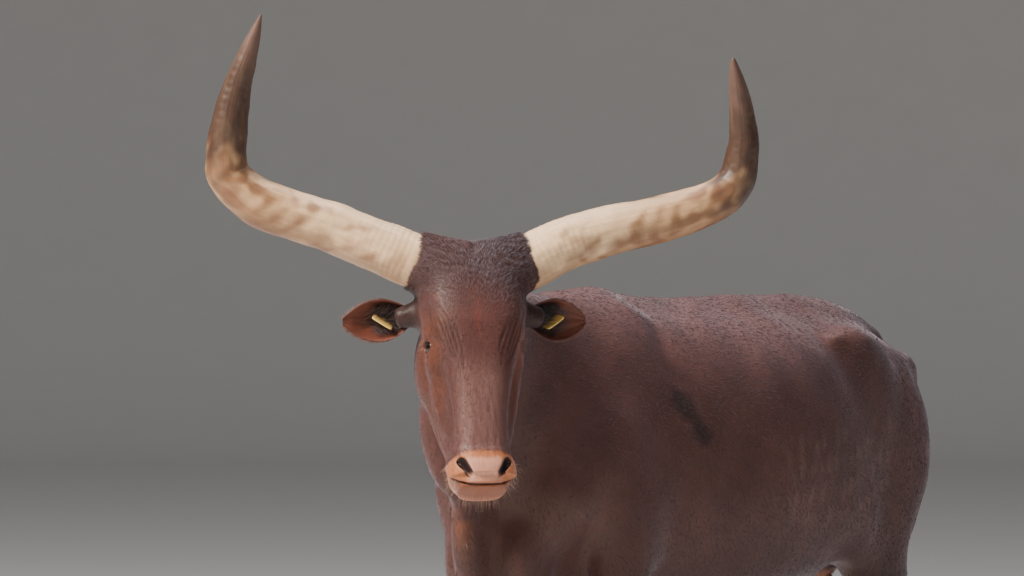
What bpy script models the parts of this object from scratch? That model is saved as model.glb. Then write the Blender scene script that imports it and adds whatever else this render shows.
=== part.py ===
"""A life-size ankole-watusi cow that stands on its four feet with its head turned to its left.

Metres, +Z up. The cow faces -Y and its left side is +X. Places are written from a point on the floor
under the withers, and the last step sets the origin under the middle of the model's box.
The flesh is one blended form, drawn as a closed skin on a grid and parted with thin cuts. Horns, ears,
eyes, claws, the tail's switch and the ear tags are shapes of their own, set on the flesh.
"""

import math

import bmesh
import bpy
import numpy as np
from mathutils import Matrix, Vector

# Driving dimensions of the animal: the reach of its feet to each side, the middle of the line between
# its horns, the head's turn to its left, its nod, and the eyeball.
LEG_SPREAD = 0.158
POLL = (0.160, -0.616, 1.437)
HEAD_TURN = math.radians(48.5)
HEAD_NOD = math.radians(-14.0)
EYE_RADIUS = 0.0205

# The gap between parted pieces, and the point of the floor under the middle of the model's box.
GAP = 0.0003
MIDDLE = (0.131, 0.0835, 0.0)

# Blended forms further off than this don't reach each other.
FAR = 0.30


def curve_through(rows, steps):
    """A Catmull-Rom curve through the rows, with this many samples to each span."""
    rows = np.asarray(rows, float)
    ends = np.vstack([2 * rows[0] - rows[1], rows, 2 * rows[-1] - rows[-2]])
    t = np.linspace(0, 1, steps, endpoint=False)[:, None]
    spans = []
    for a, b, c, d in zip(ends[:-3], ends[1:-2], ends[2:-1], ends[3:]):
        spans.append(0.5 * (2 * b + (c - a) * t + (2 * a - 5 * b + 4 * c - d) * t**2 + (3 * b - a - 3 * c + d) * t**3))
    return np.vstack(spans + [rows[-1:]])


def unit(v):
    return v / np.linalg.norm(v, axis=-1, keepdims=True)


class Tube:
    """An oval swept along a smooth path.

    A row is the centre x, y, z, the half width, the reach up or back, and the reach down or forward.
    """

    def __init__(self, rows, cap, power=2.0, steps=5):
        samples = curve_through(rows, steps)
        self.centre = samples[:, :3]
        self.reach = np.maximum(samples[:, 3:6], 0.002)
        self.cap, self.power = cap, power
        self.along = unit(np.gradient(self.centre, axis=0))
        across = np.array([1.0, 0.0, 0.0]) - self.along * self.along[:, :1]
        self.across = unit(across)
        self.rise = np.cross(self.across, self.along)
        self.low = (self.centre - self.reach.max(1)[:, None]).min(0) - cap
        self.high = (self.centre + self.reach.max(1)[:, None]).max(0) + cap

    def __call__(self, p):
        start, span = self.centre[:-1], np.diff(self.centre, axis=0)
        length = (span**2).sum(1)
        t = np.clip((p @ span.T - (start * span).sum(1)) / length, 0, 1)
        gap = ((p[:, None] - start - t[..., None] * span) ** 2).sum(2)
        k = gap.argmin(1)
        t = t[np.arange(len(p)), k][:, None]

        def between(values):
            return values[k] * (1 - t) + values[k + 1] * t

        offset = p - between(self.centre)
        reach = between(self.reach)
        side = (offset * between(self.across)).sum(1)
        rise = (offset * between(self.rise)).sum(1)
        end = (offset * between(self.along)).sum(1)
        tall = np.where(rise > 0, reach[:, 1], reach[:, 2])
        n = self.power
        ratio = np.abs(side / reach[:, 0]) ** n + np.abs(rise / tall) ** n + np.abs(end / self.cap) ** n
        ratio = np.maximum(ratio, 1e-12) ** (1 / n)
        size = np.sqrt((offset**2).sum(1))
        return np.where(ratio > 1e-3, size - size / ratio, -reach.min(1))


class Ball:
    """An ellipsoid, turned by degrees about x, y and z."""

    def __init__(self, centre, radii, turn=(0, 0, 0)):
        self.centre, self.radii = np.array(centre), np.array(radii)
        self.turn = np.array(Matrix.Rotation(math.radians(turn[2]), 3, "Z")
                             @ Matrix.Rotation(math.radians(turn[1]), 3, "Y")
                             @ Matrix.Rotation(math.radians(turn[0]), 3, "X"))
        self.low, self.high = self.centre - self.radii.max(), self.centre + self.radii.max()

    def __call__(self, p):
        q = (p - self.centre) @ self.turn
        near = np.sqrt(((q / self.radii) ** 2).sum(1)) + 1e-9
        steep = np.sqrt(((q / self.radii**2) ** 2).sum(1)) + 1e-9
        return near * (near - 1) / steep


def join(a, b, blend):
    """Smooth union: the smaller of both, rounded over this width where they meet."""
    h = np.clip(0.5 + 0.5 * (b - a) / blend, 0, 1)
    return b * (1 - h) + a * h - blend * h * (1 - h)


def blended(forms, p):
    """The forms joined one after another, each with its own blend width."""
    d = np.full(len(p), FAR)
    for shape, blend in forms:
        margin = blend + 0.03
        near = ((p > shape.low - margin) & (p < shape.high + margin)).all(1)
        if near.any():
            d[near] = join(d[near], shape(p[near]), blend)
    return d


# The trunk, neck and dewlap. Rows run from front to back.
TRUNK = Tube([
    (0, -0.39, 0.870, 0.050, 0.110, 0.130),
    (0, -0.33, 0.905, 0.118, 0.230, 0.225),
    (0, -0.20, 0.945, 0.178, 0.340, 0.295),
    (0, -0.05, 0.965, 0.220, 0.378, 0.315),
    (0, 0.14, 0.970, 0.262, 0.372, 0.335),
    (0, 0.36, 0.975, 0.300, 0.362, 0.350),
    (0, 0.59, 0.985, 0.300, 0.358, 0.340),
    (0, 0.77, 1.020, 0.262, 0.325, 0.295),
    (0, 0.92, 1.050, 0.222, 0.286, 0.225),
    (0, 1.04, 1.070, 0.178, 0.225, 0.180),
    (0, 1.11, 1.080, 0.120, 0.150, 0.140),
], cap=0.045, power=2.15)

SPINE = Tube([
    (0, -0.12, 1.300, 0.045, 0.042, 0.060),
    (0, 0.00, 1.326, 0.040, 0.044, 0.060),
    (0, 0.06, 1.324, 0.040, 0.042, 0.060),
    (0, 0.16, 1.312, 0.040, 0.040, 0.050),
    (0, 0.40, 1.314, 0.045, 0.038, 0.050),
    (0, 0.66, 1.320, 0.050, 0.038, 0.050),
    (0, 0.84, 1.318, 0.055, 0.038, 0.050),
    (0, 0.96, 1.298, 0.052, 0.036, 0.050),
    (0, 1.04, 1.270, 0.042, 0.036, 0.050),
], cap=0.04)

NECK = Tube([
    (0.100, -0.560, 1.285, 0.078, 0.118, 0.130),
    (0.066, -0.460, 1.250, 0.090, 0.142, 0.170),
    (0.032, -0.340, 1.205, 0.112, 0.180, 0.225),
    (0.008, -0.200, 1.150, 0.140, 0.215, 0.270),
    (0.0, -0.040, 1.110, 0.160, 0.235, 0.250),
], cap=0.05, power=2.2, steps=10)

DEWLAP = Tube([
    (0.085, -0.530, 1.140, 0.030, 0.060, 0.030),
    (0.068, -0.535, 1.040, 0.024, 0.090, 0.026),
    (0.046, -0.512, 0.930, 0.024, 0.110, 0.024),
    (0.024, -0.475, 0.810, 0.030, 0.110, 0.028),
    (0.004, -0.400, 0.695, 0.038, 0.110, 0.030),
    (0.0, -0.250, 0.645, 0.045, 0.090, 0.028),
    (0.0, -0.080, 0.655, 0.045, 0.060, 0.022),
], cap=0.02, steps=10)

# Bones and muscles of the left side, which the right side repeats.
SIDE_FORMS = [
    (Tube([(0.085, 0.035, 1.275, 0.038, 0.080, 0.080), (0.128, -0.070, 1.155, 0.046, 0.090, 0.095),
           (0.160, -0.190, 1.010, 0.048, 0.080, 0.085), (0.150, -0.270, 0.930, 0.040, 0.055, 0.055)],
          cap=0.04), 0.07),
    (Ball((0.176, -0.105, 0.950), (0.060, 0.135, 0.155), (20, 0, 0)), 0.08),
    (Ball((0.128, -0.290, 0.905), (0.048, 0.054, 0.080)), 0.09),
    (Ball((0.064, -0.325, 0.775), (0.068, 0.080, 0.110)), 0.09),
    (Ball((0.190, 0.750, 1.240), (0.030, 0.085, 0.034), (-15, 35, 0)), 0.11),
    (Ball((0.096, 1.096, 1.165), (0.034, 0.036, 0.045)), 0.07),
    (Tube([(0.186, 0.770, 1.232, 0.026, 0.026, 0.026), (0.150, 0.920, 1.212, 0.028, 0.028, 0.028),
           (0.096, 1.090, 1.172, 0.028, 0.028, 0.028)], cap=0.02), 0.10),
    (Ball((0.200, 0.790, 1.060), (0.050, 0.115, 0.160), (-15, 0, 0)), 0.08),
    (Ball((0.152, 0.985, 1.020), (0.082, 0.125, 0.185), (10, 0, 0)), 0.07),
    (Ball((0.195, 0.765, 0.820), (0.052, 0.080, 0.105), (20, 0, 0)), 0.06),
    (Tube([(0.215, 0.745, 0.840, 0.028, 0.050, 0.040), (0.248, 0.640, 0.850, 0.026, 0.040, 0.035),
           (0.255, 0.540, 0.880, 0.016, 0.030, 0.030)], cap=0.02), 0.08),
]

# Legs, from the top down: half width, reach back and reach forward. Each foot is set forward or back
# of the square stance by the steps below, for a natural stand.
FORELEG = [
    (0.185, -0.105, 0.900, 0.050, 0.100, 0.100),
    (0.183, -0.110, 0.800, 0.058, 0.092, 0.092),
    (0.176, -0.130, 0.690, 0.054, 0.072, 0.070),
    (0.168, -0.148, 0.570, 0.043, 0.050, 0.052),
    (0.163, -0.158, 0.470, 0.042, 0.042, 0.046),
    (0.160, -0.162, 0.415, 0.046, 0.044, 0.050),
    (0.158, -0.156, 0.355, 0.035, 0.038, 0.036),
    (0.158, -0.152, 0.275, 0.029, 0.033, 0.031),
    (0.158, -0.152, 0.195, 0.031, 0.037, 0.033),
    (0.158, -0.156, 0.150, 0.042, 0.044, 0.041),
    (0.158, -0.174, 0.105, 0.038, 0.036, 0.034),
    (0.158, -0.190, 0.070, 0.047, 0.048, 0.046),
    (0.158, -0.200, 0.035, 0.047, 0.048, 0.046),
]
HINDLEG = [
    (0.130, 0.885, 1.080, 0.085, 0.190, 0.170),
    (0.148, 0.890, 0.960, 0.096, 0.205, 0.180),
    (0.160, 0.890, 0.850, 0.088, 0.175, 0.175),
    (0.162, 0.915, 0.740, 0.068, 0.120, 0.130),
    (0.159, 0.970, 0.645, 0.050, 0.082, 0.080),
    (0.157, 1.025, 0.575, 0.041, 0.068, 0.058),
    (0.156, 1.057, 0.510, 0.042, 0.052, 0.056),
    (0.156, 1.057, 0.440, 0.036, 0.044, 0.044),
    (0.157, 1.047, 0.340, 0.031, 0.038, 0.034),
    (0.158, 1.037, 0.230, 0.032, 0.038, 0.035),
    (0.158, 1.025, 0.165, 0.043, 0.046, 0.043),
    (0.158, 1.003, 0.112, 0.038, 0.037, 0.035),
    (0.158, 0.985, 0.070, 0.047, 0.048, 0.046),
    (0.158, 0.975, 0.035, 0.047, 0.048, 0.046),
]
FORE_BUMPS = [
    (Ball((0.160, -0.195, 0.420), (0.030, 0.022, 0.045)), 0.03),
    (Ball((0.180, -0.030, 0.800), (0.030, 0.045, 0.045)), 0.04),
    (Ball((0.178, -0.112, 0.122), (0.013, 0.012, 0.017), (20, 0, 0)), 0.010),
    (Ball((0.138, -0.112, 0.122), (0.013, 0.012, 0.017), (20, 0, 0)), 0.010),
]
HIND_BUMPS = [
    (Ball((0.156, 1.117, 0.578), (0.020, 0.024, 0.040), (-12, 0, 0)), 0.035),
    (Ball((0.184, 1.045, 0.505), (0.016, 0.035, 0.035)), 0.03),
    (Ball((0.178, 1.060, 0.130), (0.013, 0.012, 0.018), (20, 0, 0)), 0.010),
    (Ball((0.138, 1.060, 0.130), (0.013, 0.012, 0.018), (20, 0, 0)), 0.010),
]
# Each foot's name, its rows, its bumps, the side it stands on and its step forward (-) or back (+).
LEGS = {
    "foreleg_left": (FORELEG, FORE_BUMPS, 1, 0.020),
    "foreleg_right": (FORELEG, FORE_BUMPS, -1, -0.050),
    "hindleg_left": (HINDLEG, HIND_BUMPS, 1, -0.060),
    "hindleg_right": (HINDLEG, HIND_BUMPS, -1, 0.040),
}
LEG_TOP = {"foreleg": 0.62, "hindleg": 0.86}
CORONET = 0.066
# A claw from the sole up: height, half the foot's width, reach to the toe and reach to the heel.
CLAW_RINGS = [(0, 0.050, 0.084, 0.044), (0.012, 0.0505, 0.080, 0.046), (0.040, 0.0485, 0.062, 0.047),
              (CORONET - GAP, 0.0455, 0.048, 0.046)]
CLEFT = 0.0022

UDDER = Tube([
    (0, 0.700, 0.740, 0.060, 0.050, 0.035),
    (0, 0.790, 0.735, 0.078, 0.070, 0.070),
    (0, 0.880, 0.745, 0.078, 0.080, 0.075),
    (0, 0.960, 0.790, 0.060, 0.070, 0.050),
], cap=0.05)
TEATS = [(0.045, 0.780, 0.655), (0.045, 0.870, 0.660)]
TAIL_SEAT = (0, 1.170, 1.206)
TAIL_WAY = (0, 0.40, -0.92)


def stepped(rows, side, step, top):
    """A leg's rows on their side, with the foot moved by its step and the top left in place."""
    rows = np.array(rows, float)
    share = np.clip((top - rows[:, 2]) / (top - 0.10), 0, 1)
    rows[:, 1] += step * share
    rows[:, 0] *= side
    return rows


def stepped_bumps(bumps, side, step, top):
    made = []
    for ball, blend in bumps:
        share = min(max((top - ball.centre[2]) / (top - 0.10), 0), 1)
        centre = ball.centre * (side, 1, 1) + (0, step * share, 0)
        copy = Ball(centre, ball.radii)
        copy.turn = ball.turn
        made.append((copy, blend))
    return made


def leg_forms(name):
    rows, bumps, side, step = LEGS[name]
    top = LEG_TOP[name[:7]]
    forms = [(Tube(stepped(rows, side, step, top), cap=0.05), 0.05)]
    return forms + stepped_bumps(bumps, side, step, top)


# The head, from the middle of the line between the horns: x to its left, y back, z up the face.
HEAD_FORMS = [
    (Tube([(0, 0.000, -0.006, 0.096, 0.078, 0.052), (0, -0.018, -0.050, 0.104, 0.085, 0.064),
           (0, -0.030, -0.120, 0.101, 0.085, 0.064), (0, -0.036, -0.190, 0.090, 0.080, 0.057),
           (0, -0.040, -0.260, 0.072, 0.070, 0.049), (0, -0.042, -0.330, 0.060, 0.060, 0.044),
           (0, -0.042, -0.400, 0.057, 0.050, 0.043), (0, -0.038, -0.450, 0.058, 0.050, 0.046)],
          cap=0.026, power=2.5), 0.02),
    (Tube([(0, 0.040, -0.040, 0.080, 0.055, 0.080), (0, 0.050, -0.110, 0.090, 0.080, 0.100),
           (0, 0.062, -0.185, 0.097, 0.106, 0.099), (0, 0.066, -0.250, 0.100, 0.093, 0.101),
           (0, 0.060, -0.310, 0.0965, 0.064, 0.095), (0, 0.044, -0.370, 0.083, 0.040, 0.078),
           (0, 0.020, -0.430, 0.066, 0.036, 0.064), (0, 0.006, -0.470, 0.058, 0.034, 0.056)],
          cap=0.026, power=2.3), 0.03),
    (Ball((0.083, 0.098, -0.210), (0.031, 0.062, 0.085), (12, 0, 0)), 0.03),
    (Ball((0.078, 0.020, -0.105), (0.036, 0.060, 0.055)), 0.03),
    (Ball((0.077, -0.006, -0.162), (0.029, 0.046, 0.033), (0, 0, -12)), 0.022),
    (Ball((0.074, 0.002, -0.214), (0.027, 0.042, 0.034)), 0.022),
    (Tube([(0.078, 0.002, -0.235, 0.016, 0.020, 0.020), (0.070, 0.000, -0.300, 0.014, 0.018, 0.018),
           (0.060, -0.004, -0.360, 0.012, 0.016, 0.016)], cap=0.02), 0.03),
    (Ball((0.062, 0.010, -0.004), (0.074, 0.070, 0.046)), 0.035),
    (Tube([(0, -0.022, -0.420, 0.057, 0.055, 0.059), (0, -0.018, -0.447, 0.0715, 0.056, 0.070),
           (0, -0.016, -0.478, 0.0750, 0.054, 0.072), (0, -0.020, -0.500, 0.063, 0.048, 0.058)],
          cap=0.013, power=2.6), 0.020),
    (Ball((0, -0.014, -0.490), (0.047, 0.046, 0.022), (-10, 0, 0)), 0.010),
    (Ball((0, 0.030, -0.440), (0.046, 0.032, 0.055)), 0.03),
]
COLLAR = Tube([(0.030, 0.004, -0.032, 0.058, 0.058, 0.058), (0.122, 0.004, 0.002, 0.0615, 0.0615, 0.0615),
               (0.150, 0.004, 0.013, 0.0600, 0.0600, 0.0600)], cap=0.01, power=2.2)
EAR_SEAT = (0.132, 0.050, -0.108)
EAR_WAY = (0.965, 0.225, -0.135)
EAR_BOSS = Tube([(0.070, 0.038, -0.098, 0.034, 0.034, 0.034), (0.132, 0.050, -0.108, 0.026, 0.026, 0.026),
                 (0.150, 0.054, -0.111, 0.022, 0.022, 0.022)], cap=0.01)
EYE = (0.0836, -0.0020, -0.1896)
EYE_WAY = (0.970, -0.235, 0.050)
LID_REACH = (0.0215, 0.0165)
EYE_OPENING = (0.0180, 0.0120, 0.0125)
NOSTRIL = Tube([(0.024, -0.088, -0.485, 0.0025, 0.008, 0.008), (0.031, -0.085, -0.477, 0.0040, 0.013, 0.013),
                (0.040, -0.080, -0.464, 0.0055, 0.017, 0.016), (0.048, -0.075, -0.452, 0.0070, 0.015, 0.014),
                (0.053, -0.071, -0.446, 0.0050, 0.010, 0.010)], cap=0.004)
MOUTH_FRONT = (-0.079, -0.5050)
MOUTH_SLOPE = 0.65
MOUTH_CORNER = 0.022
MOUTH_WIDTH = 0.0042
MOUTH_DEPTH = 0.012
LIP_OVERHANG = 0.009


def eye_axes(q):
    """Each point's reach from the eye's middle: across, up and out."""
    way = unit(np.array(EYE_WAY))
    across = unit(np.cross((0, 0, 1.0), way))
    offset = q - np.array(EYE)
    return offset @ across, offset @ np.cross(way, across), offset @ way


def lid_field(side, up, out):
    """The distance to the rims of both lids: an oval ring round the eye, flattened towards it."""
    wide, high = LID_REACH
    ratio = np.sqrt((side / wide) ** 2 + (up / high) ** 2) + 1e-6
    ring = np.sqrt(side**2 + up**2) * (1 - 1 / ratio)
    return np.sqrt(ring**2 + (0.8 * (out - EYE_RADIUS * 0.62)) ** 2) - 0.0062


def opening_field(side, up, out):
    """The distance to the almond between the lids, cut down to the eyeball."""
    wide, high, deep = EYE_OPENING
    ratio = np.sqrt((side / wide) ** 2 + (up / high) ** 2 + ((out - EYE_RADIUS) / deep) ** 2)
    return (ratio - 1) * high


def to_head(p):
    turn = np.array(Matrix.Rotation(HEAD_TURN, 3, "Z") @ Matrix.Rotation(HEAD_NOD, 3, "X"))
    return (p - np.array(POLL)) @ turn


def from_head(q):
    turn = np.array(Matrix.Rotation(HEAD_TURN, 3, "Z") @ Matrix.Rotation(HEAD_NOD, 3, "X"))
    return np.asarray(q) @ turn.T + np.array(POLL)


def head_field(p):
    """The head's surface, mirrored about its own middle plane."""
    q = to_head(p)
    q[:, 0] = np.abs(q[:, 0])
    d = blended(HEAD_FORMS + [(COLLAR, 0.03), (EAR_BOSS, 0.02)], q)
    near = np.abs(q - np.array(EYE)).max(1) < 0.06
    eye = eye_axes(q[near])
    d[near] = -join(-join(d[near], lid_field(*eye), 0.008), opening_field(*eye), 0.004)
    near = ((q > NOSTRIL.low - 0.03) & (q < NOSTRIL.high + 0.03)).all(1)
    d[near] = -join(-d[near], NOSTRIL(q[near]), 0.005)
    line = MOUTH_FRONT[1] + MOUTH_SLOPE * (q[:, 1] - MOUTH_FRONT[0])
    open_here = np.clip((MOUTH_CORNER - q[:, 1]) / 0.02, 0, 1) * (q[:, 1] < 0.06)
    under_lip = np.clip((line - q[:, 2]) / 0.008, 0, 1) * np.clip((q[:, 0] - 0.015) / 0.035, 0, 1)
    d = d + LIP_OVERHANG * open_here * under_lip
    slit = MOUTH_WIDTH * open_here * (1 + d / MOUTH_DEPTH) - np.abs(q[:, 2] - line)
    return np.where(open_here > 0, -join(-d, -slit, 0.003), d)


THROAT = Ball((0.038, -0.567, 1.076), (0.048, 0.050, 0.132), (8, 0, 0))
BODY_FORMS = [(TRUNK, 0.05), (SPINE, 0.07), (NECK, 0.09), (DEWLAP, 0.05), (THROAT, 0.06)]
LEG_FORMS = [form for leg in LEGS for form in leg_forms(leg)]
TAIL_HEAD = Tube([(0, 1.000, 1.278, 0.045, 0.034, 0.050), (0, 1.080, 1.270, 0.036, 0.030, 0.038),
                  (0, 1.136, 1.248, 0.030, 0.028, 0.028), (0, 1.172, 1.200, 0.026, 0.026, 0.026)], cap=0.01)


def flesh_field(p):
    """Below nought inside the flesh of the whole animal, without its ears."""
    p = np.asarray(p, float)
    mirrored = p * (1, 1, 1)
    mirrored[:, 0] = np.abs(p[:, 0])
    d = blended(BODY_FORMS, p)
    d = join(d, blended(SIDE_FORMS, mirrored), 0.05)
    d = join(d, blended(LEG_FORMS, p), 0.045)
    udder = blended([(UDDER, 0.02)] + [(Ball(teat, (0.013, 0.013, 0.042)), 0.012) for teat in TEATS], mirrored)
    d = join(d, udder, 0.03)
    d = join(d, blended([(TAIL_HEAD, 0.02)], p), 0.03)
    ahead = p[:, 1] < -0.30
    d[ahead] = join(d[ahead], head_field(p[ahead]), 0.045)
    return d


def sampled(field, points, chunk=150_000):
    return np.concatenate([field(points[i:i + chunk]) for i in range(0, len(points), chunk)])


def skin_of(field, low, high, cell):
    """A closed skin where the field is nought: one point in each grid cell that it crosses, joined in fours."""
    block = 4
    blocks = [math.ceil((b - a) / (cell * block)) + 1 for a, b in zip(low, high)]
    coarse = np.stack(np.meshgrid(*[a + (np.arange(n) + 0.5) * cell * block for a, n in zip(low, blocks)],
                                  indexing="ij"), -1)
    rough = sampled(field, coarse.reshape(-1, 3)).reshape(blocks)
    value = np.kron(rough, np.ones((block, block, block)))
    near = np.argwhere(np.kron(np.abs(rough) < 1.3 * cell * block + 0.02, np.ones((block, block, block), bool)))
    value[tuple(near.T)] = sampled(field, near * cell + np.array(low))
    for axis in range(3):
        edge = np.moveaxis(value, axis, 0)
        edge[0], edge[-1] = cell, cell
    value[value == 0] = 1e-9
    inside = value < 0
    n = np.array(value.shape) - 1

    def corner(array, i, j, k):
        return array[i:i + n[0], j:j + n[1], k:k + n[2]]

    corners = [(i, j, k) for i in (0, 1) for j in (0, 1) for k in (0, 1)]
    count = sum(corner(inside, *c).astype(np.int8) for c in corners)
    mixed = (count > 0) & (count < 8)
    number = np.full(n, -1)
    number[mixed] = np.arange(mixed.sum())
    total, weight = np.zeros((mixed.sum(), 3)), np.zeros(mixed.sum())
    for a in corners:
        for axis in range(3):
            if a[axis]:
                continue
            b = tuple(a[i] + (i == axis) for i in range(3))
            va, vb = corner(value, *a)[mixed], corner(value, *b)[mixed]
            crossed = (va < 0) != (vb < 0)
            t = np.where(crossed, va / np.where(crossed, va - vb, 1), 0)
            at = np.array(a, float) + np.eye(3)[axis] * t[:, None]
            total += at * crossed[:, None]
            weight += crossed
    points = (np.argwhere(mixed) + total / weight[:, None]) * cell + np.array(low)
    faces = []
    for axis in range(3):
        u, v = (axis + 1) % 3, (axis + 2) % 3
        first = np.moveaxis(inside, (axis, u, v), (0, 1, 2))
        cells = np.moveaxis(number, (axis, u, v), (0, 1, 2))
        change = first[:-1, 1:-1, 1:-1] != first[1:, 1:-1, 1:-1]
        ring = [cells[:, :-1, :-1], cells[:, 1:, :-1], cells[:, 1:, 1:], cells[:, :-1, 1:]]
        quads = np.stack([r[change] for r in ring], 1)
        outward = first[:-1, 1:-1, 1:-1][change]
        faces.append(np.where(outward[:, None], quads, quads[:, ::-1]))
    return points, np.concatenate(faces)


def slope_of(field, points, step=0.0008):
    value = sampled(field, points)
    slope = np.stack([(sampled(field, points + step * axis) - value) / step for axis in np.eye(3)], 1)
    return value, slope


def settled(field, points, faces, rounds=2, most=0.006):
    """The points evened out along the skin and drawn back onto it."""
    ends = np.concatenate([faces[:, [0, 1]], faces[:, [1, 2]], faces[:, [2, 3]], faces[:, [3, 0]]])
    count = np.bincount(ends[:, 0], minlength=len(points))[:, None]
    for _ in range(rounds):
        middle = np.stack([np.bincount(ends[:, 0], points[ends[:, 1], i], len(points)) for i in range(3)], 1)
        points = points + 0.5 * (middle / np.maximum(count, 1) - points)
        value, slope = slope_of(field, points)
        move = value[:, None] * slope / np.maximum((slope**2).sum(1), 0.05)[:, None]
        points = points - np.clip(move, -most, most)
    return points


def material(name, colour, roughness, metallic=0.0):
    made = bpy.data.materials.new(name)
    made.use_nodes = True
    made.diffuse_color = (*colour, 1)
    shader = made.node_tree.nodes["Principled BSDF"]
    shader.inputs["Base Color"].default_value = (*colour, 1)
    shader.inputs["Roughness"].default_value = roughness
    shader.inputs["Metallic"].default_value = metallic
    return made


def add_object(name, points, faces, finish=None):
    mesh = bpy.data.meshes.new(name)
    mesh.from_pydata([tuple(p) for p in points], [], [tuple(int(i) for i in f) for f in faces])
    if finish:
        mesh.materials.append(finish)
    made = bpy.data.objects.new(name, mesh)
    bpy.context.scene.collection.objects.link(made)
    return made


def apply_modifiers(obj):
    """Replaces the object's mesh by what its modifiers make of it."""
    graph = bpy.context.evaluated_depsgraph_get()
    made = bpy.data.meshes.new_from_object(obj.evaluated_get(graph))
    obj.modifiers.clear()
    obj.data = made


def thin_to(obj, triangles):
    """Collapses edges until about this many triangles are left, fewest where the skin is flattest."""
    modifier = obj.modifiers.new("thin", "DECIMATE")
    modifier.ratio = triangles / sum(len(f.vertices) - 2 for f in obj.data.polygons)
    modifier.use_collapse_triangulate = True
    apply_modifiers(obj)


def copy_of(obj, name):
    made = bpy.data.objects.new(name, obj.data.copy())
    bpy.context.scene.collection.objects.link(made)
    return made


def combine(obj, other, operation, solver="EXACT"):
    """Joins, cuts or keeps the overlap with another closed mesh, which is then removed."""
    modifier = obj.modifiers.new(operation.lower(), "BOOLEAN")
    modifier.operation, modifier.object, modifier.solver = operation, other, solver
    apply_modifiers(obj)
    bpy.data.objects.remove(other)
    return obj


def largest_only(obj):
    """Keeps the object's largest closed surface."""
    mesh = bmesh.new()
    mesh.from_mesh(obj.data)
    bmesh.ops.remove_doubles(mesh, verts=mesh.verts, dist=1e-6)
    left, parts = set(mesh.verts), []
    while left:
        stack, part = [left.pop()], set()
        while stack:
            vertex = stack.pop()
            part.add(vertex)
            for edge in vertex.link_edges:
                other = edge.other_vert(vertex)
                if other in left:
                    left.discard(other)
                    stack.append(other)
        parts.append(part)
    parts.sort(key=len)
    bmesh.ops.delete(mesh, geom=[v for part in parts[:-1] for v in part], context="VERTS")
    mesh.to_mesh(obj.data)
    mesh.free()


def mended(obj):
    """Takes out the points of edges that four faces share, and closes the small holes this leaves."""
    mesh = bmesh.new()
    mesh.from_mesh(obj.data)
    for _ in range(4):
        pinched = {v for e in mesh.edges if len(e.link_faces) != 2 for v in e.verts}
        if not pinched:
            break
        bmesh.ops.delete(mesh, geom=list(pinched), context="VERTS")
        rim = [e for e in mesh.edges if e.is_boundary]
        filled = bmesh.ops.holes_fill(mesh, edges=rim, sides=0)
        bmesh.ops.triangulate(mesh, faces=filled["faces"])
        bmesh.ops.recalc_face_normals(mesh, faces=mesh.faces[:])
    mesh.to_mesh(obj.data)
    mesh.free()


def keep_side(obj, point, way):
    """Cuts the object flat through the point and keeps the side that the way points to."""
    mesh = bmesh.new()
    mesh.from_mesh(obj.data)
    everything = mesh.verts[:] + mesh.edges[:] + mesh.faces[:]
    cut = bmesh.ops.bisect_plane(mesh, geom=everything, plane_co=point, plane_no=way, dist=1e-6, clear_inner=True)
    rim = [e for e in cut["geom_cut"] if isinstance(e, bmesh.types.BMEdge)]
    bmesh.ops.remove_doubles(mesh, verts=list({v for e in rim for v in e.verts}), dist=2e-5)
    rim = [e for e in mesh.edges if e.is_boundary]
    filled = bmesh.ops.holes_fill(mesh, edges=rim, sides=0)
    bmesh.ops.triangulate(mesh, faces=filled["faces"])
    bmesh.ops.recalc_face_normals(mesh, faces=mesh.faces[:])
    mesh.to_mesh(obj.data)
    mesh.free()
    return obj


def loft(rings, closed_ends=True):
    """Points and faces of a skin through rings of equal count, capped at both ends."""
    rings = np.asarray(rings, float)
    count, size = rings.shape[:2]
    grid = np.arange(count * size).reshape(count, size)
    next_in_ring = np.roll(grid, -1, axis=1)
    faces = np.stack([grid[:-1], next_in_ring[:-1], next_in_ring[1:], grid[1:]], -1).reshape(-1, 4).tolist()
    if closed_ends:
        faces += [grid[0][::-1].tolist(), grid[-1].tolist()]
    return rings.reshape(-1, 3), faces


def outward(obj):
    mesh = bmesh.new()
    mesh.from_mesh(obj.data)
    bmesh.ops.recalc_face_normals(mesh, faces=mesh.faces[:])
    mesh.to_mesh(obj.data)
    mesh.free()
    return obj


def ring_at(centre, across, rise, reach_across, reach_rise, count, turn=0.0):
    """A flat oval of points."""
    angle = np.linspace(0, 2 * np.pi, count, endpoint=False)[:, None] + turn
    return centre + np.cos(angle) * across * reach_across + np.sin(angle) * rise * reach_rise


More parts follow.
